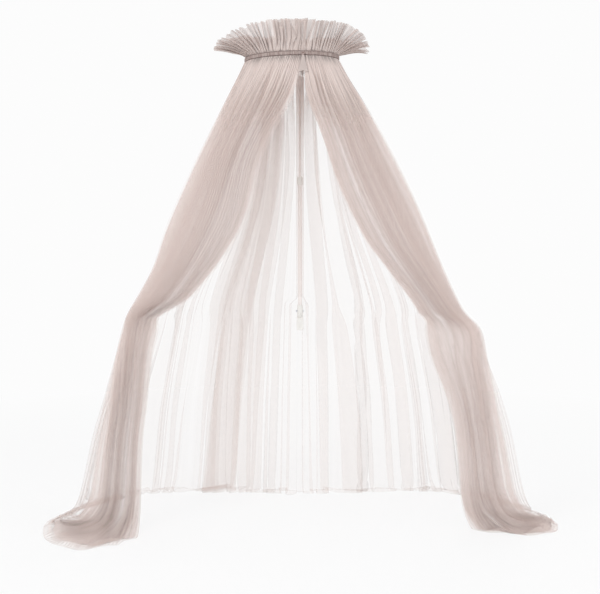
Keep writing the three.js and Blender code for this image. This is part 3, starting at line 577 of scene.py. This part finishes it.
def cover_at(colours, places, downs):
    """How much one layer covers: more where finer gathers than the pleats lie in it, and most at
    the seam under the casing, where voile_finish paints it darker as painted shade."""
    place, down = places[None, :], downs[:, None]
    front = frontness(place)
    streaks = wander(41, place, down, (60, 220), (0, 1.5), 12)
    behind = 1 - rise(np.abs(place), 0.25, 0.2)
    near_hoop = 1 + (between(behind, 5.5, 2.2) + 1.2 * streaks) * bell(down, 0, 0.045)
    outside = eased((np.abs(place) - 0.4) * 5)
    at_side = rise(np.abs(place), 0.34, 0.12) * (1 - front)
    leg = rise(down, 0.28, 0.15)
    swag = 1 + 0.4 * front * rise(down, 0.05, 0.07) * (1 - leg)
    outer_leg = between(leg, -0.2, np.where(place < 0, 0.3, -0.2))
    in_leg = (1 - 0.3 * front * leg) * (1 + at_side * outer_leg) * swag
    on_floor = 1 + 1.2 * outside * rise(down, 0.64, 0.12)
    pocket = 1 + 1.3 * bell(place, 0, 0.03) * eased((0.26 - down) / 0.2)
    bands = wander(42, place, down, (10, 45), (0, 0.4), 9)
    cover = between(front, colours.back_cover, colours.front_cover)
    cover = cover * (1 + 0.12 * streaks + 0.13 * bands)
    cover = np.clip(cover * near_hoop * in_leg * on_floor * pocket, *GATHERED_COVERS)
    # At the seam the cover rises to nearly whole: partly the seam's own cloth, and partly so that
    # painted shade falls there under the casing.
    return cover + SEAM_AND_SHADE_COVER * bell(down, 0, 0.006)


def clear_of_pole(points):
    """The same points, moved out of the pole and its collar where they touch it."""
    collar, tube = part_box("lock_collar")[1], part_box("upper_tube")[1]
    height = points[..., 2]
    radius = np.where(height > collar.z + 0.01, tube.x, collar.x) + POLE_CLEARANCE
    reach = np.linalg.norm(points[..., :2], axis=-1)
    push = np.where(height > 0.2, np.maximum(radius / np.maximum(reach, 1e-6), 1), 1)
    points[..., :2] *= push[..., None]
    return points


# Meshes

def deselect():
    """Nothing is selected or active, so that an operator acts on its own piece alone."""
    bpy.ops.object.select_all(action="DESELECT")
    bpy.context.view_layer.objects.active = None


def woven(name, points, cloth_size, closed=False, cover=None):
    """A grid of rows and columns, moved to points, with its map in metres of cloth."""
    deselect()
    rows, columns = points.shape[:2]
    bpy.ops.mesh.primitive_grid_add(x_subdivisions=columns - 1, y_subdivisions=rows - 1, size=2)
    piece = bpy.context.object
    piece.name = piece.data.name = name
    mesh = piece.data
    flat = np.zeros(len(mesh.vertices) * 3)
    mesh.vertices.foreach_get("co", flat)
    flat = flat.reshape(-1, 3)
    column = np.rint((flat[:, 0] + 1) / 2 * (columns - 1)).astype(int)
    row = np.rint((1 - flat[:, 1]) / 2 * (rows - 1)).astype(int)
    mesh.vertices.foreach_set("co", points[row, column].astype(np.float32).ravel())
    uv = mesh.uv_layers.active
    uv.name = "cloth"
    place = np.zeros(len(uv.data) * 2, np.float32)
    uv.data.foreach_get("uv", place)
    place = place.reshape(-1, 2) * np.array(cloth_size, np.float32)
    uv.data.foreach_set("uv", place.ravel())
    if cover is not None:
        layer = mesh.attributes.new("cover", "FLOAT", "POINT")
        layer.data.foreach_set("value", cover[row, column].astype(np.float32))
    if closed:
        bpy.ops.object.mode_set(mode="EDIT")
        bpy.ops.mesh.select_all(action="SELECT")
        bpy.ops.mesh.remove_doubles(threshold=1e-6)
        bpy.ops.object.mode_set(mode="OBJECT")
    bpy.ops.object.shade_smooth()
    mesh.update()
    return piece


# Finishes

class Level:
    """A number that varies over a surface. Sums of it add Math nodes."""

    def __init__(self, nodes, socket):
        self.nodes, self.socket = nodes, socket

    def sum(self, operation, first, second):
        return self.nodes.node("ShaderNodeMath", {"operation": operation}, {0: first, 1: second})

    def __add__(self, other):
        return self.sum("ADD", self, other)

    def __sub__(self, other):
        return self.sum("SUBTRACT", self, other)

    def __rsub__(self, other):
        return self.sum("SUBTRACT", other, self)

    def __mul__(self, other):
        return self.sum("MULTIPLY", self, other)

    __radd__, __rmul__ = __add__, __mul__

    def most(self, other):
        """The greater of two levels."""
        return self.sum("MAXIMUM", self, other)

    def above(self, edge, width):
        """0 below an edge and 1 above it, over a width."""
        return self.nodes.node(
            "ShaderNodeMapRange", {"interpolation_type": "SMOOTHSTEP"},
            {"Value": self, "From Min": edge - width / 2, "From Max": edge + width / 2},
        )


class Nodes:
    """The shader nodes of a material or a world."""

    def __init__(self, owner, emptied=False):
        owner.use_nodes = True
        self.tree = owner.node_tree
        if emptied:
            self.tree.nodes.clear()

    def node(self, kind, settings, inputs, output=0):
        """Adds a node. Its settings are set first, then the values or links of its sockets."""
        node = self.tree.nodes.new(kind)
        for key, value in settings.items():
            setattr(node, key, value)
        for key, value in inputs.items():
            self.feed(node.inputs[key], value)
        return Level(self, node.outputs[output]) if node.outputs else None

    def feed(self, socket, value):
        """Gives a socket a number, a colour or another node's level."""
        if isinstance(value, Level):
            self.tree.links.new(value.socket, socket)
        else:
            socket.default_value = value


class Finish(Nodes):
    """A material for one of the canopy's finishes. Numbers that are the same all over
    the surface are set on the shader's own sockets."""

    def __init__(self, name, **constants):
        self.material = bpy.data.materials.new(name)
        super().__init__(self.material)
        self.shader = self.tree.nodes["Principled BSDF"]
        self.surface(**constants)

    def surface(self, **values):
        """Gives the shader's sockets numbers, colours or levels."""
        for key, value in values.items():
            socket = key.replace("_", " ").title().replace("Ior", "IOR")
            self.feed(self.shader.inputs[socket], value)

    def cloth_map(self, wide=1.0, tall=1.0):
        """The cloth's own map in metres, stretched."""
        place = self.node("ShaderNodeUVMap", {"uv_map": "cloth"}, {})
        return self.node("ShaderNodeMapping", {}, {"Vector": place, "Scale": (wide, tall, 1)})

    def noise(self, place, scale, detail):
        """Soft noise from 0 to 1."""
        inputs = {"Vector": place, "Scale": scale, "Detail": detail}
        return self.node("ShaderNodeTexNoise", {}, inputs)

    def mixed(self, level, first, second):
        """A colour between two colours."""
        first, second = (
            colour if isinstance(colour, Level) else (*colour, 1) for colour in (first, second)
        )
        return self.node(
            "ShaderNodeMix", {"data_type": "RGBA"}, {"Factor": level, 6: first, 7: second}, 2
        )

    def bump(self, height, distance, strength):
        """Feeds the shader's normal from a height."""
        inputs = {"Height": height, "Distance": distance, "Strength": strength}
        self.surface(normal=self.node("ShaderNodeBump", {}, inputs))


def darker(colour, factor):
    """The same colour with less light."""
    return tuple(value * factor for value in colour)


def voile_finish(name, colour, cover=None):
    """Sheer plain weave with slubs in both directions. One layer covers a share, which
    is the same all over or else the cloth's own."""
    finish = Finish(name, roughness=0.85, **CLOTH_GLOSS)
    warp = finish.noise(finish.cloth_map(1400, 14), 1.0, 2.0)
    weft = finish.noise(finish.cloth_map(14, 1400), 1.0, 2.0)
    crush = finish.noise(finish.cloth_map(30, 9), 1.0, 3.0)
    shade = warp * 0.45 + weft * 0.35 + crush * 0.2
    base = finish.mixed(shade, darker(colour, 0.86), darker(colour, 1.12))
    if cover is None:
        cover = finish.node("ShaderNodeAttribute", {"attribute_name": "cover"}, {}, "Fac")
        # Painted shade: where the cover is nearly whole, at the seam under the casing, in the
        # ruffle's creases and on one flank of the bow's tails, the colour is painted darker.
        base = finish.mixed(cover.above(PAINTED_SHADE_COVER, 0.1), base, darker(colour, 0.5))
    finish.surface(base_color=base, alpha=cover)
    finish.bump(warp + weft + crush * 2.0, 0.0004, 0.6)
    return finish.material


def gathered_finish(name, colours):
    """Voile gathered so closely that it hardly shows through, with two seams: dark lines of
    thread, drawn wider than the thread to paint the shade of the gathers pinched there.
    """
    finish = Finish(name, roughness=0.9, alpha=0.93, **CLOTH_GLOSS)
    strands = finish.noise(finish.cloth_map(520, 18), 1.0, 3.0)
    base = finish.mixed(
        strands.above(0.5, 0.3), darker(colours.stitch, 0.75), darker(colours.voile, 0.72)
    )
    down_band = finish.node("ShaderNodeSeparateXYZ", {}, {"Vector": finish.cloth_map()}, 1)
    seam_thread_and_shade = 0
    for seam in SEAMS:
        off = finish.node("ShaderNodeMath", {"operation": "ABSOLUTE"}, {0: down_band - seam})
        # Each seam's dark line is a few millimetres wide: partly thread, and partly painted shade
        # of the pinched gathers.
        seam_thread_and_shade = (1 - off.above(0.0024, 0.002)) + seam_thread_and_shade
    thread = seam_thread_and_shade * (0.55 + strands.above(0.52, 0.1) * 0.4)
    finish.surface(base_color=finish.mixed(thread, base, darker(colours.stitch, 0.3)))
    finish.bump(strands - seam_thread_and_shade * 0.6, 0.0012, 0.9)
    return finish.material


def hardware_finish(name, colour, grain_scale, grain_depth, wear, roughness, **constants):
    """A hard finish with its own grain, faint stains and slightly uneven gloss."""
    finish = Finish(name, **constants)
    place = finish.node("ShaderNodeTexCoord", {}, {}, "Object")
    grain = finish.noise(place, grain_scale, 3.0)
    cloud = finish.noise(place, 14.0, 2.0)
    base = finish.mixed(cloud.above(0.5, 0.6) * wear, colour, darker(colour, 0.82))
    finish.surface(base_color=base, roughness=grain * 0.12 + (roughness - 0.06))
    finish.bump(grain, grain_depth, 0.5)
    return finish.material


def shown_to_camera(nodes, output_kind, lit, shown, shown_share=1.0):
    """Ends a tree: a share of what the camera sees, in gloss and through clear pieces
    too, is one shader, and all else is the other."""
    camera, gloss, clear = (
        nodes.node("ShaderNodeLightPath", {}, {}, f"Is {ray} Ray")
        for ray in ("Camera", "Glossy", "Transmission")
    )
    level = camera.most(gloss).most(clear) * shown_share
    mixed = nodes.node("ShaderNodeMixShader", {}, {0: level, 1: lit, 2: shown})
    nodes.node(output_kind, {}, {"Surface": mixed})


def floor_finish(name):
    """White that the camera sees as white, and that keeps some shadow near the canopy."""
    material = bpy.data.materials.new(name)
    nodes = Nodes(material, emptied=True)
    paper = nodes.node("ShaderNodeBsdfDiffuse", {}, {"Color": (0.9, 0.9, 0.9, 1)})
    glow = nodes.node("ShaderNodeEmission", {}, {"Color": WHITE_SEEN})
    place = nodes.node("ShaderNodeTexCoord", {}, {}, "Object")
    away = nodes.node("ShaderNodeVectorMath", {"operation": "LENGTH"}, {0: place}, "Value")
    begins, ends = WHITE_FADES
    shown_share = nodes.node(
        "ShaderNodeMapRange", {},
        {"Value": away, "From Min": begins, "From Max": ends, "To Min": WHITE_NEAR_SHARE},
    )
    shown_to_camera(nodes, "ShaderNodeOutputMaterial", paper, glow, shown_share)
    return material


def daylight_world(name):
    """Cool light from all sides, which the camera sees as white."""
    world = bpy.data.worlds.new(name)
    nodes = Nodes(world, emptied=True)
    sky = {"Color": (0.98, 0.99, 1, 1), "Strength": 0.8}
    light = nodes.node("ShaderNodeBackground", {}, sky)
    white = nodes.node("ShaderNodeBackground", {}, {"Color": WHITE_SEEN})
    shown_to_camera(nodes, "ShaderNodeOutputWorld", light, white)
    return world


def dress(piece, material):
    """Gives a piece its one material."""
    piece.data.materials.clear()
    piece.data.materials.append(material)


def on_crown(piece, material):
    """Gives a piece its material and its slot, and lets it move with the crown."""
    dress(piece, material)
    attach(piece, "crown")


# Pieces

def shares_down():
    """Shares down the veil, closer together where it bends more."""
    shares = [0.0]
    for index, rows in enumerate(ROWS_PER_SPAN):
        shares += [(index + (k + 1) / rows) / len(ROWS_PER_SPAN) for k in range(rows)]
    return np.array(shares)


class CANOPY_OT_veil(Operator):
    """Adds the veil: two curtains and a panel behind, with hems"""

    bl_idname = "canopy.veil"
    bl_label = "Add Veil"

    def execute(self, context):
        sizes, colours = context.scene.canopy_sizes, context.scene.canopy_colours
        voile = voile_finish("voile", colours.voile)
        hemmed = voile_finish("voile_hem", darker(colours.voile, 0.95), colours.hem_cover)
        downs = shares_down()
        grid, cloth, _ = summed_along(sizes)
        for side, (first, last, columns) in PANELS.items():
            places = places_evenly(sizes, first, last, columns)
            width = np.ptp(np.interp((first, last), grid, cloth))
            steps = np.diff(smooth_veil(sizes, places, downs), axis=0)
            cut_length = float(np.linalg.norm(steps, axis=-1).sum(axis=0).max())
            panel = woven(
                f"veil_{side}", veil_points(sizes, places, downs), (width, cut_length),
                cover=cover_at(colours, places, downs),
            )
            dress(panel, voile)
            hem_points = veil_points(sizes, places, np.linspace(1 - HEM_SHARE, 1, 3), HEM_LIFT)
            pieces = [woven(f"veil_{side}_hem", hem_points, (width, sizes.hem))]
            if side != "back":
                edge = first if side == "left" else last
                inner = edge * (1 - sizes.hem / sizes.front_cloth)
                edge_places = np.linspace(*sorted((edge, inner)), 5)
                border_points = veil_points(sizes, edge_places, downs, HEM_LIFT)
                pieces.append(
                    woven(f"veil_{side}_border", border_points, (sizes.hem, cut_length))
                )
            for piece in pieces:
                dress(piece, hemmed)
            for piece in (panel, *pieces):
                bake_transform(piece)
            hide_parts(f"veil_{side}_panel")
        return {"FINISHED"}


class CANOPY_OT_ruffle(Operator):
    """Adds the pleated ruffle above the casing"""

    bl_idname = "canopy.ruffle"
    bl_label = "Add Ruffle"

    def execute(self, context):
        sizes, colours = context.scene.canopy_sizes, context.scene.canopy_colours
        voile = voile_finish("voile_ruffle", darker(colours.voile, 0.88))
        pleats = sizes.ruffle_folds * PLEATS_PER_RUFFLE_FOLD
        place = np.linspace(0, 1, pleats * COLUMNS_PER_RUFFLE_PLEAT + 1)[None, :]
        down = (np.linspace(0, 1, RUFFLE_ROWS + 1) ** 1.15)[:, None]
        bow = bow_turn(sizes)
        turn = bow - math.pi / 2 + place * FULL_TURN
        # It flares little in front and behind, and most at the sides.
        side = np.abs(np.cos(turn - bow)) ** sizes.ruffle_spread
        flare = between(side, sizes.ruffle_front_flare, sizes.ruffle_side_flare)
        ends = eased(place * (1 - place) * 40)
        flare = flare + math.radians(6) * wander(21, place, down, (2, 9), (0, 0.4)) * ends
        lean = flare * (0.78 + 0.22 * down)

        fine = place * pleats * FULL_TURN + 1.4 * wander(22, place, down, (6, 20), (0, 0.3))
        fine = fine + 0.7 * wander(23, place, down, (30, 60), (0.1, 0.7))
        fold = sizes.ruffle_fold_depth * down * np.cos(
            (place + bow / FULL_TURN) * sizes.ruffle_folds * FULL_TURN
        )
        depth = RUFFLE_PLEAT + RUFFLE_PLEAT_MORE * eased(down / 0.5)
        uneven = 1 + 0.35 * wander(24, place, down, (10, 40), (0, 0.6))
        depth = depth * np.clip(uneven, 0.75, 2)
        fold = 0.55 * fold + depth * np.cos(fine)

        coarse, close = RUFFLE_RAGGED
        ragged = coarse * wander(25, place, 0, (30, 90), (0, 0))
        ragged = ragged + close * wander(26, place, 0, (300, 700), (0, 0))
        notch = sum(deep * bell(place, middle, NOTCH_WIDTH) for middle, deep in RUFFLE_NOTCHES)
        run = (sizes.ruffle_length - 0.003 + np.clip(ragged, -0.006, 0.003) - notch) * down
        run = run * (0.96 + 0.13 * side)
        out = run * np.sin(lean) + fold * np.cos(lean)
        height = sizes.casing_top + 0.0005 + run * np.cos(lean) - fold * np.sin(lean)
        lying = 0.9 + 0.3 * wander(27, place, 0, (3, 12), (0, 0))
        lying = np.clip(lying, 0.75, 1.4) * np.tanh((place - 0.5) * 20)
        spread = lying * depth * np.cos(fine) + 0.0026 * np.sin(2 * fine)
        points = loop_points(sizes, turn + spread / 0.2, out, height)

        streaks = wander(28, place, down, (90, 330), (0, 0.6), 14)
        cover = between(eased(down / 0.9), 0.76, colours.ruffle_cover) * (1 + 0.16 * streaks)
        cover = np.clip(cover, 0.05, GATHERED_COVERS[1]) + SEAM_AND_SHADE_COVER * bell(down, 0, 0.05)
        # Painted shade: the creases between the pleats are covered more, up to nearly whole,
        # towards the casing, so that voile_finish paints them darker there.
        crease_shade = eased((-np.cos(fine) - 0.6) / 0.3) * (1 - rise(down, 0.25, 0.6))
        uneven = 0.5 + 0.5 * wander(29, place, down, (15, 50), (0, 0.3))
        cover = cover + (0.97 - cover) * (crease_shade * np.clip(uneven, 0, 0.9))
        flat = (sizes.ruffle_width, sizes.ruffle_length)
        ruffle = woven("ruffle", points, flat, cover=cover)
        on_crown(ruffle, voile)
        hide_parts("crown_ruffle")
        return {"FINISHED"}


class CANOPY_OT_casing(Operator):
    """Adds the gathered casing round the hoop"""

    bl_idname = "canopy.casing"
    bl_label = "Add Casing"

    def execute(self, context):
        sizes, colours = context.scene.canopy_sizes, context.scene.canopy_colours
        place = np.linspace(0, 1, CASING_COLUMNS + 1)[None, :]
        section = np.linspace(0, 1, CASING_SECTION + 1)[:, None]
        corner = (-0.3 + 1.04 * section) * FULL_TURN
        # A power of less than 1 makes the round section nearly square.
        wide, tall = (
            np.sign(level) * np.abs(level) ** 0.55 for level in (np.cos(corner), np.sin(corner))
        )
        phase = place * CASING_GATHERS * FULL_TURN + 1.4 * wander(31, place, 0, (10, 50), (0, 0))
        uneven = 1 + 0.4 * wander(32, place, 0, (20, 90), (0, 0))
        gather = GATHER_DEPTH * np.cos(phase) * uneven
        pinch = SEAM_PINCH * bell(np.abs(tall), 0.72, 0.1)
        out = wide * (sizes.casing_half_depth - 0.0012 + gather - pinch + 0.0008 * section)
        height = sizes.casing_top - sizes.casing_height / 2
        height = height + tall * (sizes.casing_height / 2 + 0.0006)
        height = height + 0.0006 * wander(33, place, 0, (40, 160), (0, 0))
        points = loop_points(sizes, -math.pi / 2 + place * FULL_TURN, out, height)
        casing = woven("casing", points, CASING_FLAT, closed=True)
        on_crown(casing, gathered_finish("voile_gathered", colours))
        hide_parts("gathered_casing")
        return {"FINISHED"}


def bow_axes(sizes):
    """The knot's middle, and the ways to its right and to its front."""
    turn = bow_turn(sizes) - math.pi / 2
    at, ahead, aside = (
        loop_points(sizes, np.array([turn + step]), out, -CORD_DROP)[0]
        for step, out in ((0, BOW_OUT), (0, BOW_OUT + 0.01), (0.01, BOW_OUT))
    )
    return at, unit(aside - at), unit(ahead - at)


def wrapped(name, path, radius, turns, steps, flat=1.0):
    """A cord along a path: a tube of grid rows, its section flattened and turned."""
    along = unit(np.gradient(path, axis=0))
    across = unit(np.cross(along, np.roll(along, 1, axis=1) + np.array((0.3, 0.1, 0.2))))
    third = np.cross(along, across)
    twist = turns * FULL_TURN * np.linspace(0, 1, len(path))
    turn = np.linspace(0, FULL_TURN, steps + 1)[None, :] + twist[:, None]
    section = radius * (1 + 0.12 * np.cos(3 * turn))
    points = path[:, None] + across[:, None] * (section * np.cos(turn))[..., None]
    points = points + third[:, None] * (flat * section * np.sin(turn))[..., None]
    size = float(np.linalg.norm(np.diff(path, axis=0), axis=1).sum())
    return woven(name, points, (FULL_TURN * radius, size), closed=True)


class CANOPY_OT_bow(Operator):
    """Adds the drawstring: a cord in the casing, a knot in front and two tails"""

    bl_idname = "canopy.bow"
    bl_label = "Add Bow"

    def execute(self, context):
        sizes, colours = context.scene.canopy_sizes, context.scene.canopy_colours
        ribbon = voile_finish("voile_ribbon", darker(colours.voile, 0.84))
        cord = voile_finish("voile_cord", darker(colours.stitch, 0.8), 1.0)
        at, aside, ahead = bow_axes(sizes)

        turn = bow_turn(sizes) - math.pi / 2 + np.linspace(0, FULL_TURN, 721)
        ring = loop_points(sizes, turn, CORD_OUT, -CORD_DROP)
        string = wrapped("drawstring", ring, CORD_RADIUS, turns=180, steps=9)
        pieces = [string]
        sweep = np.linspace(0, FULL_TURN, 73)
        for index, (tilt, size) in enumerate(KNOT_TURNS):
            ring = aside * np.cos(sweep)[:, None] * 0.8 + UP * np.sin(sweep)[:, None]
            ring = at + (ring + ahead * (np.sin(sweep) * tilt)[:, None]) * size
            name = f"bow_turn_{index + 1}"
            pieces.append(wrapped(name, ring, KNOT_RADIUS, turns=5, steps=12, flat=0.8))
        for piece in pieces:
            on_crown(piece, cord)
        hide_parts("drawstring")

        down = np.linspace(0, 1, 49)[:, None]
        place = np.linspace(-1, 1, 61)[None, :]
        for index, side in enumerate((-1, 1)):
            half = TAIL_HALF + TAIL_HALF_MORE * down ** 1.2
            sway = side * (TAIL_ASIDE + TAIL_ASIDE_MORE * down ** 1.3)
            fine = place * 3.5 * math.pi + side
            across = half * (place * 0.8 + 0.25 * np.sin(2 * fine)) + sway
            proud = 0.003 * (0.35 + 0.65 * down) * np.cos(fine)
            proud = proud + TAIL_PROUD + TAIL_PROUD_MORE * down
            slanted = 0.004 * place * down * side
            drop = -(TAIL_FLAT[1] * down + slanted * down)
            points = at + aside * across[..., None] + ahead * proud[..., None]
            points = points + UP * drop[..., None]
            # Painted shade: one flank of each fold is covered more, up to nearly whole near the
            # knot, so that voile_finish paints it darker, as on the folds' shaded side.
            cover = 0.76 + 0.22 * rise(np.sin(fine), 0.35, 0.4) * (1 - 0.6 * down)
            tail = woven(f"bow_tail_{index + 1}", points, TAIL_FLAT, cover=cover)
            on_crown(tail, ribbon)
        return {"FINISHED"}


class CANOPY_OT_hardware(Operator):
    """Finishes the pole, the clamp, the hoop and the screws"""

    bl_idname = "canopy.hardware"
    bl_label = "Finish Hardware"

    def execute(self, context):
        colours = context.scene.canopy_colours
        coat = {"coat_weight": 0.3, "coat_roughness": 0.2}
        finishes = {
            name: hardware_finish(name, colour, grain_scale, grain_depth, wear, rough, **more)
            for name, colour, grain_scale, grain_depth, wear, rough, more in (
                ("white_lacquer", colours.lacquer, 900, 0.00005, 0.12, 0.32, coat),
                ("white_plastic", colours.plastic, 2200, 0.00008, 0.15, 0.5, {}),
                ("grey_rubber", colours.rubber, 1500, 0.0001, 0.5, 0.85, {}),
                ("zinc_steel", colours.zinc, 1800, 0.00004, 0.4, 0.3, {"metallic": 1.0}),
            )
        }
        for subpart in frame["record"]["subparts"]:
            if subpart["material_slot"] in finishes:
                dress(frame["nodes"][subpart["node"]], finishes[subpart["material_slot"]])
        return {"FINISHED"}


class CANOPY_OT_stage(Operator):
    """Adds the floor, the lights and the camera"""

    bl_idname = "canopy.stage"
    bl_label = "Add Stage"

    def execute(self, context):
        scene = context.scene
        below = -scene.canopy_sizes.floor_drop - FLOOR_GAP
        deselect()
        bpy.ops.mesh.primitive_plane_add(size=60, location=(0, 0, below))
        floor = context.object
        floor.name = "floor"
        dress(floor, floor_finish("floor_white"))
        scene.world = daylight_world("daylight")

        for name, (place, power, size) in LAMPS.items():
            data = bpy.data.lights.new(name, "AREA")
            data.energy, data.size = power, size
            lamp = bpy.data.objects.new(name, data)
            scene.collection.objects.link(lamp)
            lamp.location = place
            towards = Vector(LIT_POINT) - Vector(place)
            lamp.rotation_euler = towards.to_track_quat("-Z", "Y").to_euler()

        camera = bpy.data.objects.new("camera", bpy.data.cameras.new("camera"))
        scene.collection.objects.link(camera)
        camera.location = CAMERA_PLACE
        camera.rotation_euler = (math.pi / 2, 0, 0)
        camera.data.sensor_width = SENSOR_WIDTH
        camera.data.lens = SENSOR_WIDTH * FOCAL_PIXELS / IMAGE_WIDTH
        camera.data.shift_y = SHIFT_PIXELS / IMAGE_WIDTH
        scene.camera = camera
        scene.view_settings.view_transform = "Standard"
        scene.cycles.transparent_max_bounces = 96
        return {"FINISHED"}


OPERATORS = (
    CANOPY_OT_stage, CANOPY_OT_hardware, CANOPY_OT_casing, CANOPY_OT_bow, CANOPY_OT_ruffle,
    CANOPY_OT_veil,
)


class CANOPY_PT_panel(Panel):
    """Lists the canopy's sizes, colours and pieces"""

    bl_label = "Bed Crown Canopy"
    bl_idname = "CANOPY_PT_panel"
    bl_space_type = "VIEW_3D"
    bl_region_type = "UI"
    bl_category = "Canopy"

    def draw(self, context):
        layout = self.layout
        for operator in OPERATORS:
            layout.operator(operator.bl_idname)
        for group in (context.scene.canopy_sizes, context.scene.canopy_colours):
            column = layout.column()
            for key in type(group).__annotations__:
                column.prop(group, key)


CLASSES = (CanopySizes, CanopyColours, *OPERATORS, CANOPY_PT_panel)


def register():
    """Registers the classes and their settings on the scene."""
    for item in CLASSES:
        bpy.utils.register_class(item)
    bpy.types.Scene.canopy_sizes = PointerProperty(type=CanopySizes)
    bpy.types.Scene.canopy_colours = PointerProperty(type=CanopyColours)


def unregister():
    """Removes the settings and the classes."""
    del bpy.types.Scene.canopy_colours
    del bpy.types.Scene.canopy_sizes
    for item in reversed(CLASSES):
        bpy.utils.unregister_class(item)


def main():
    """Adds the whole canopy."""
    register()
    bpy.ops.canopy.stage()
    bpy.ops.canopy.hardware()
    bpy.ops.canopy.casing()
    bpy.ops.canopy.bow()
    bpy.ops.canopy.ruffle()
    bpy.ops.canopy.veil()


if __name__ == "__main__":
    main()
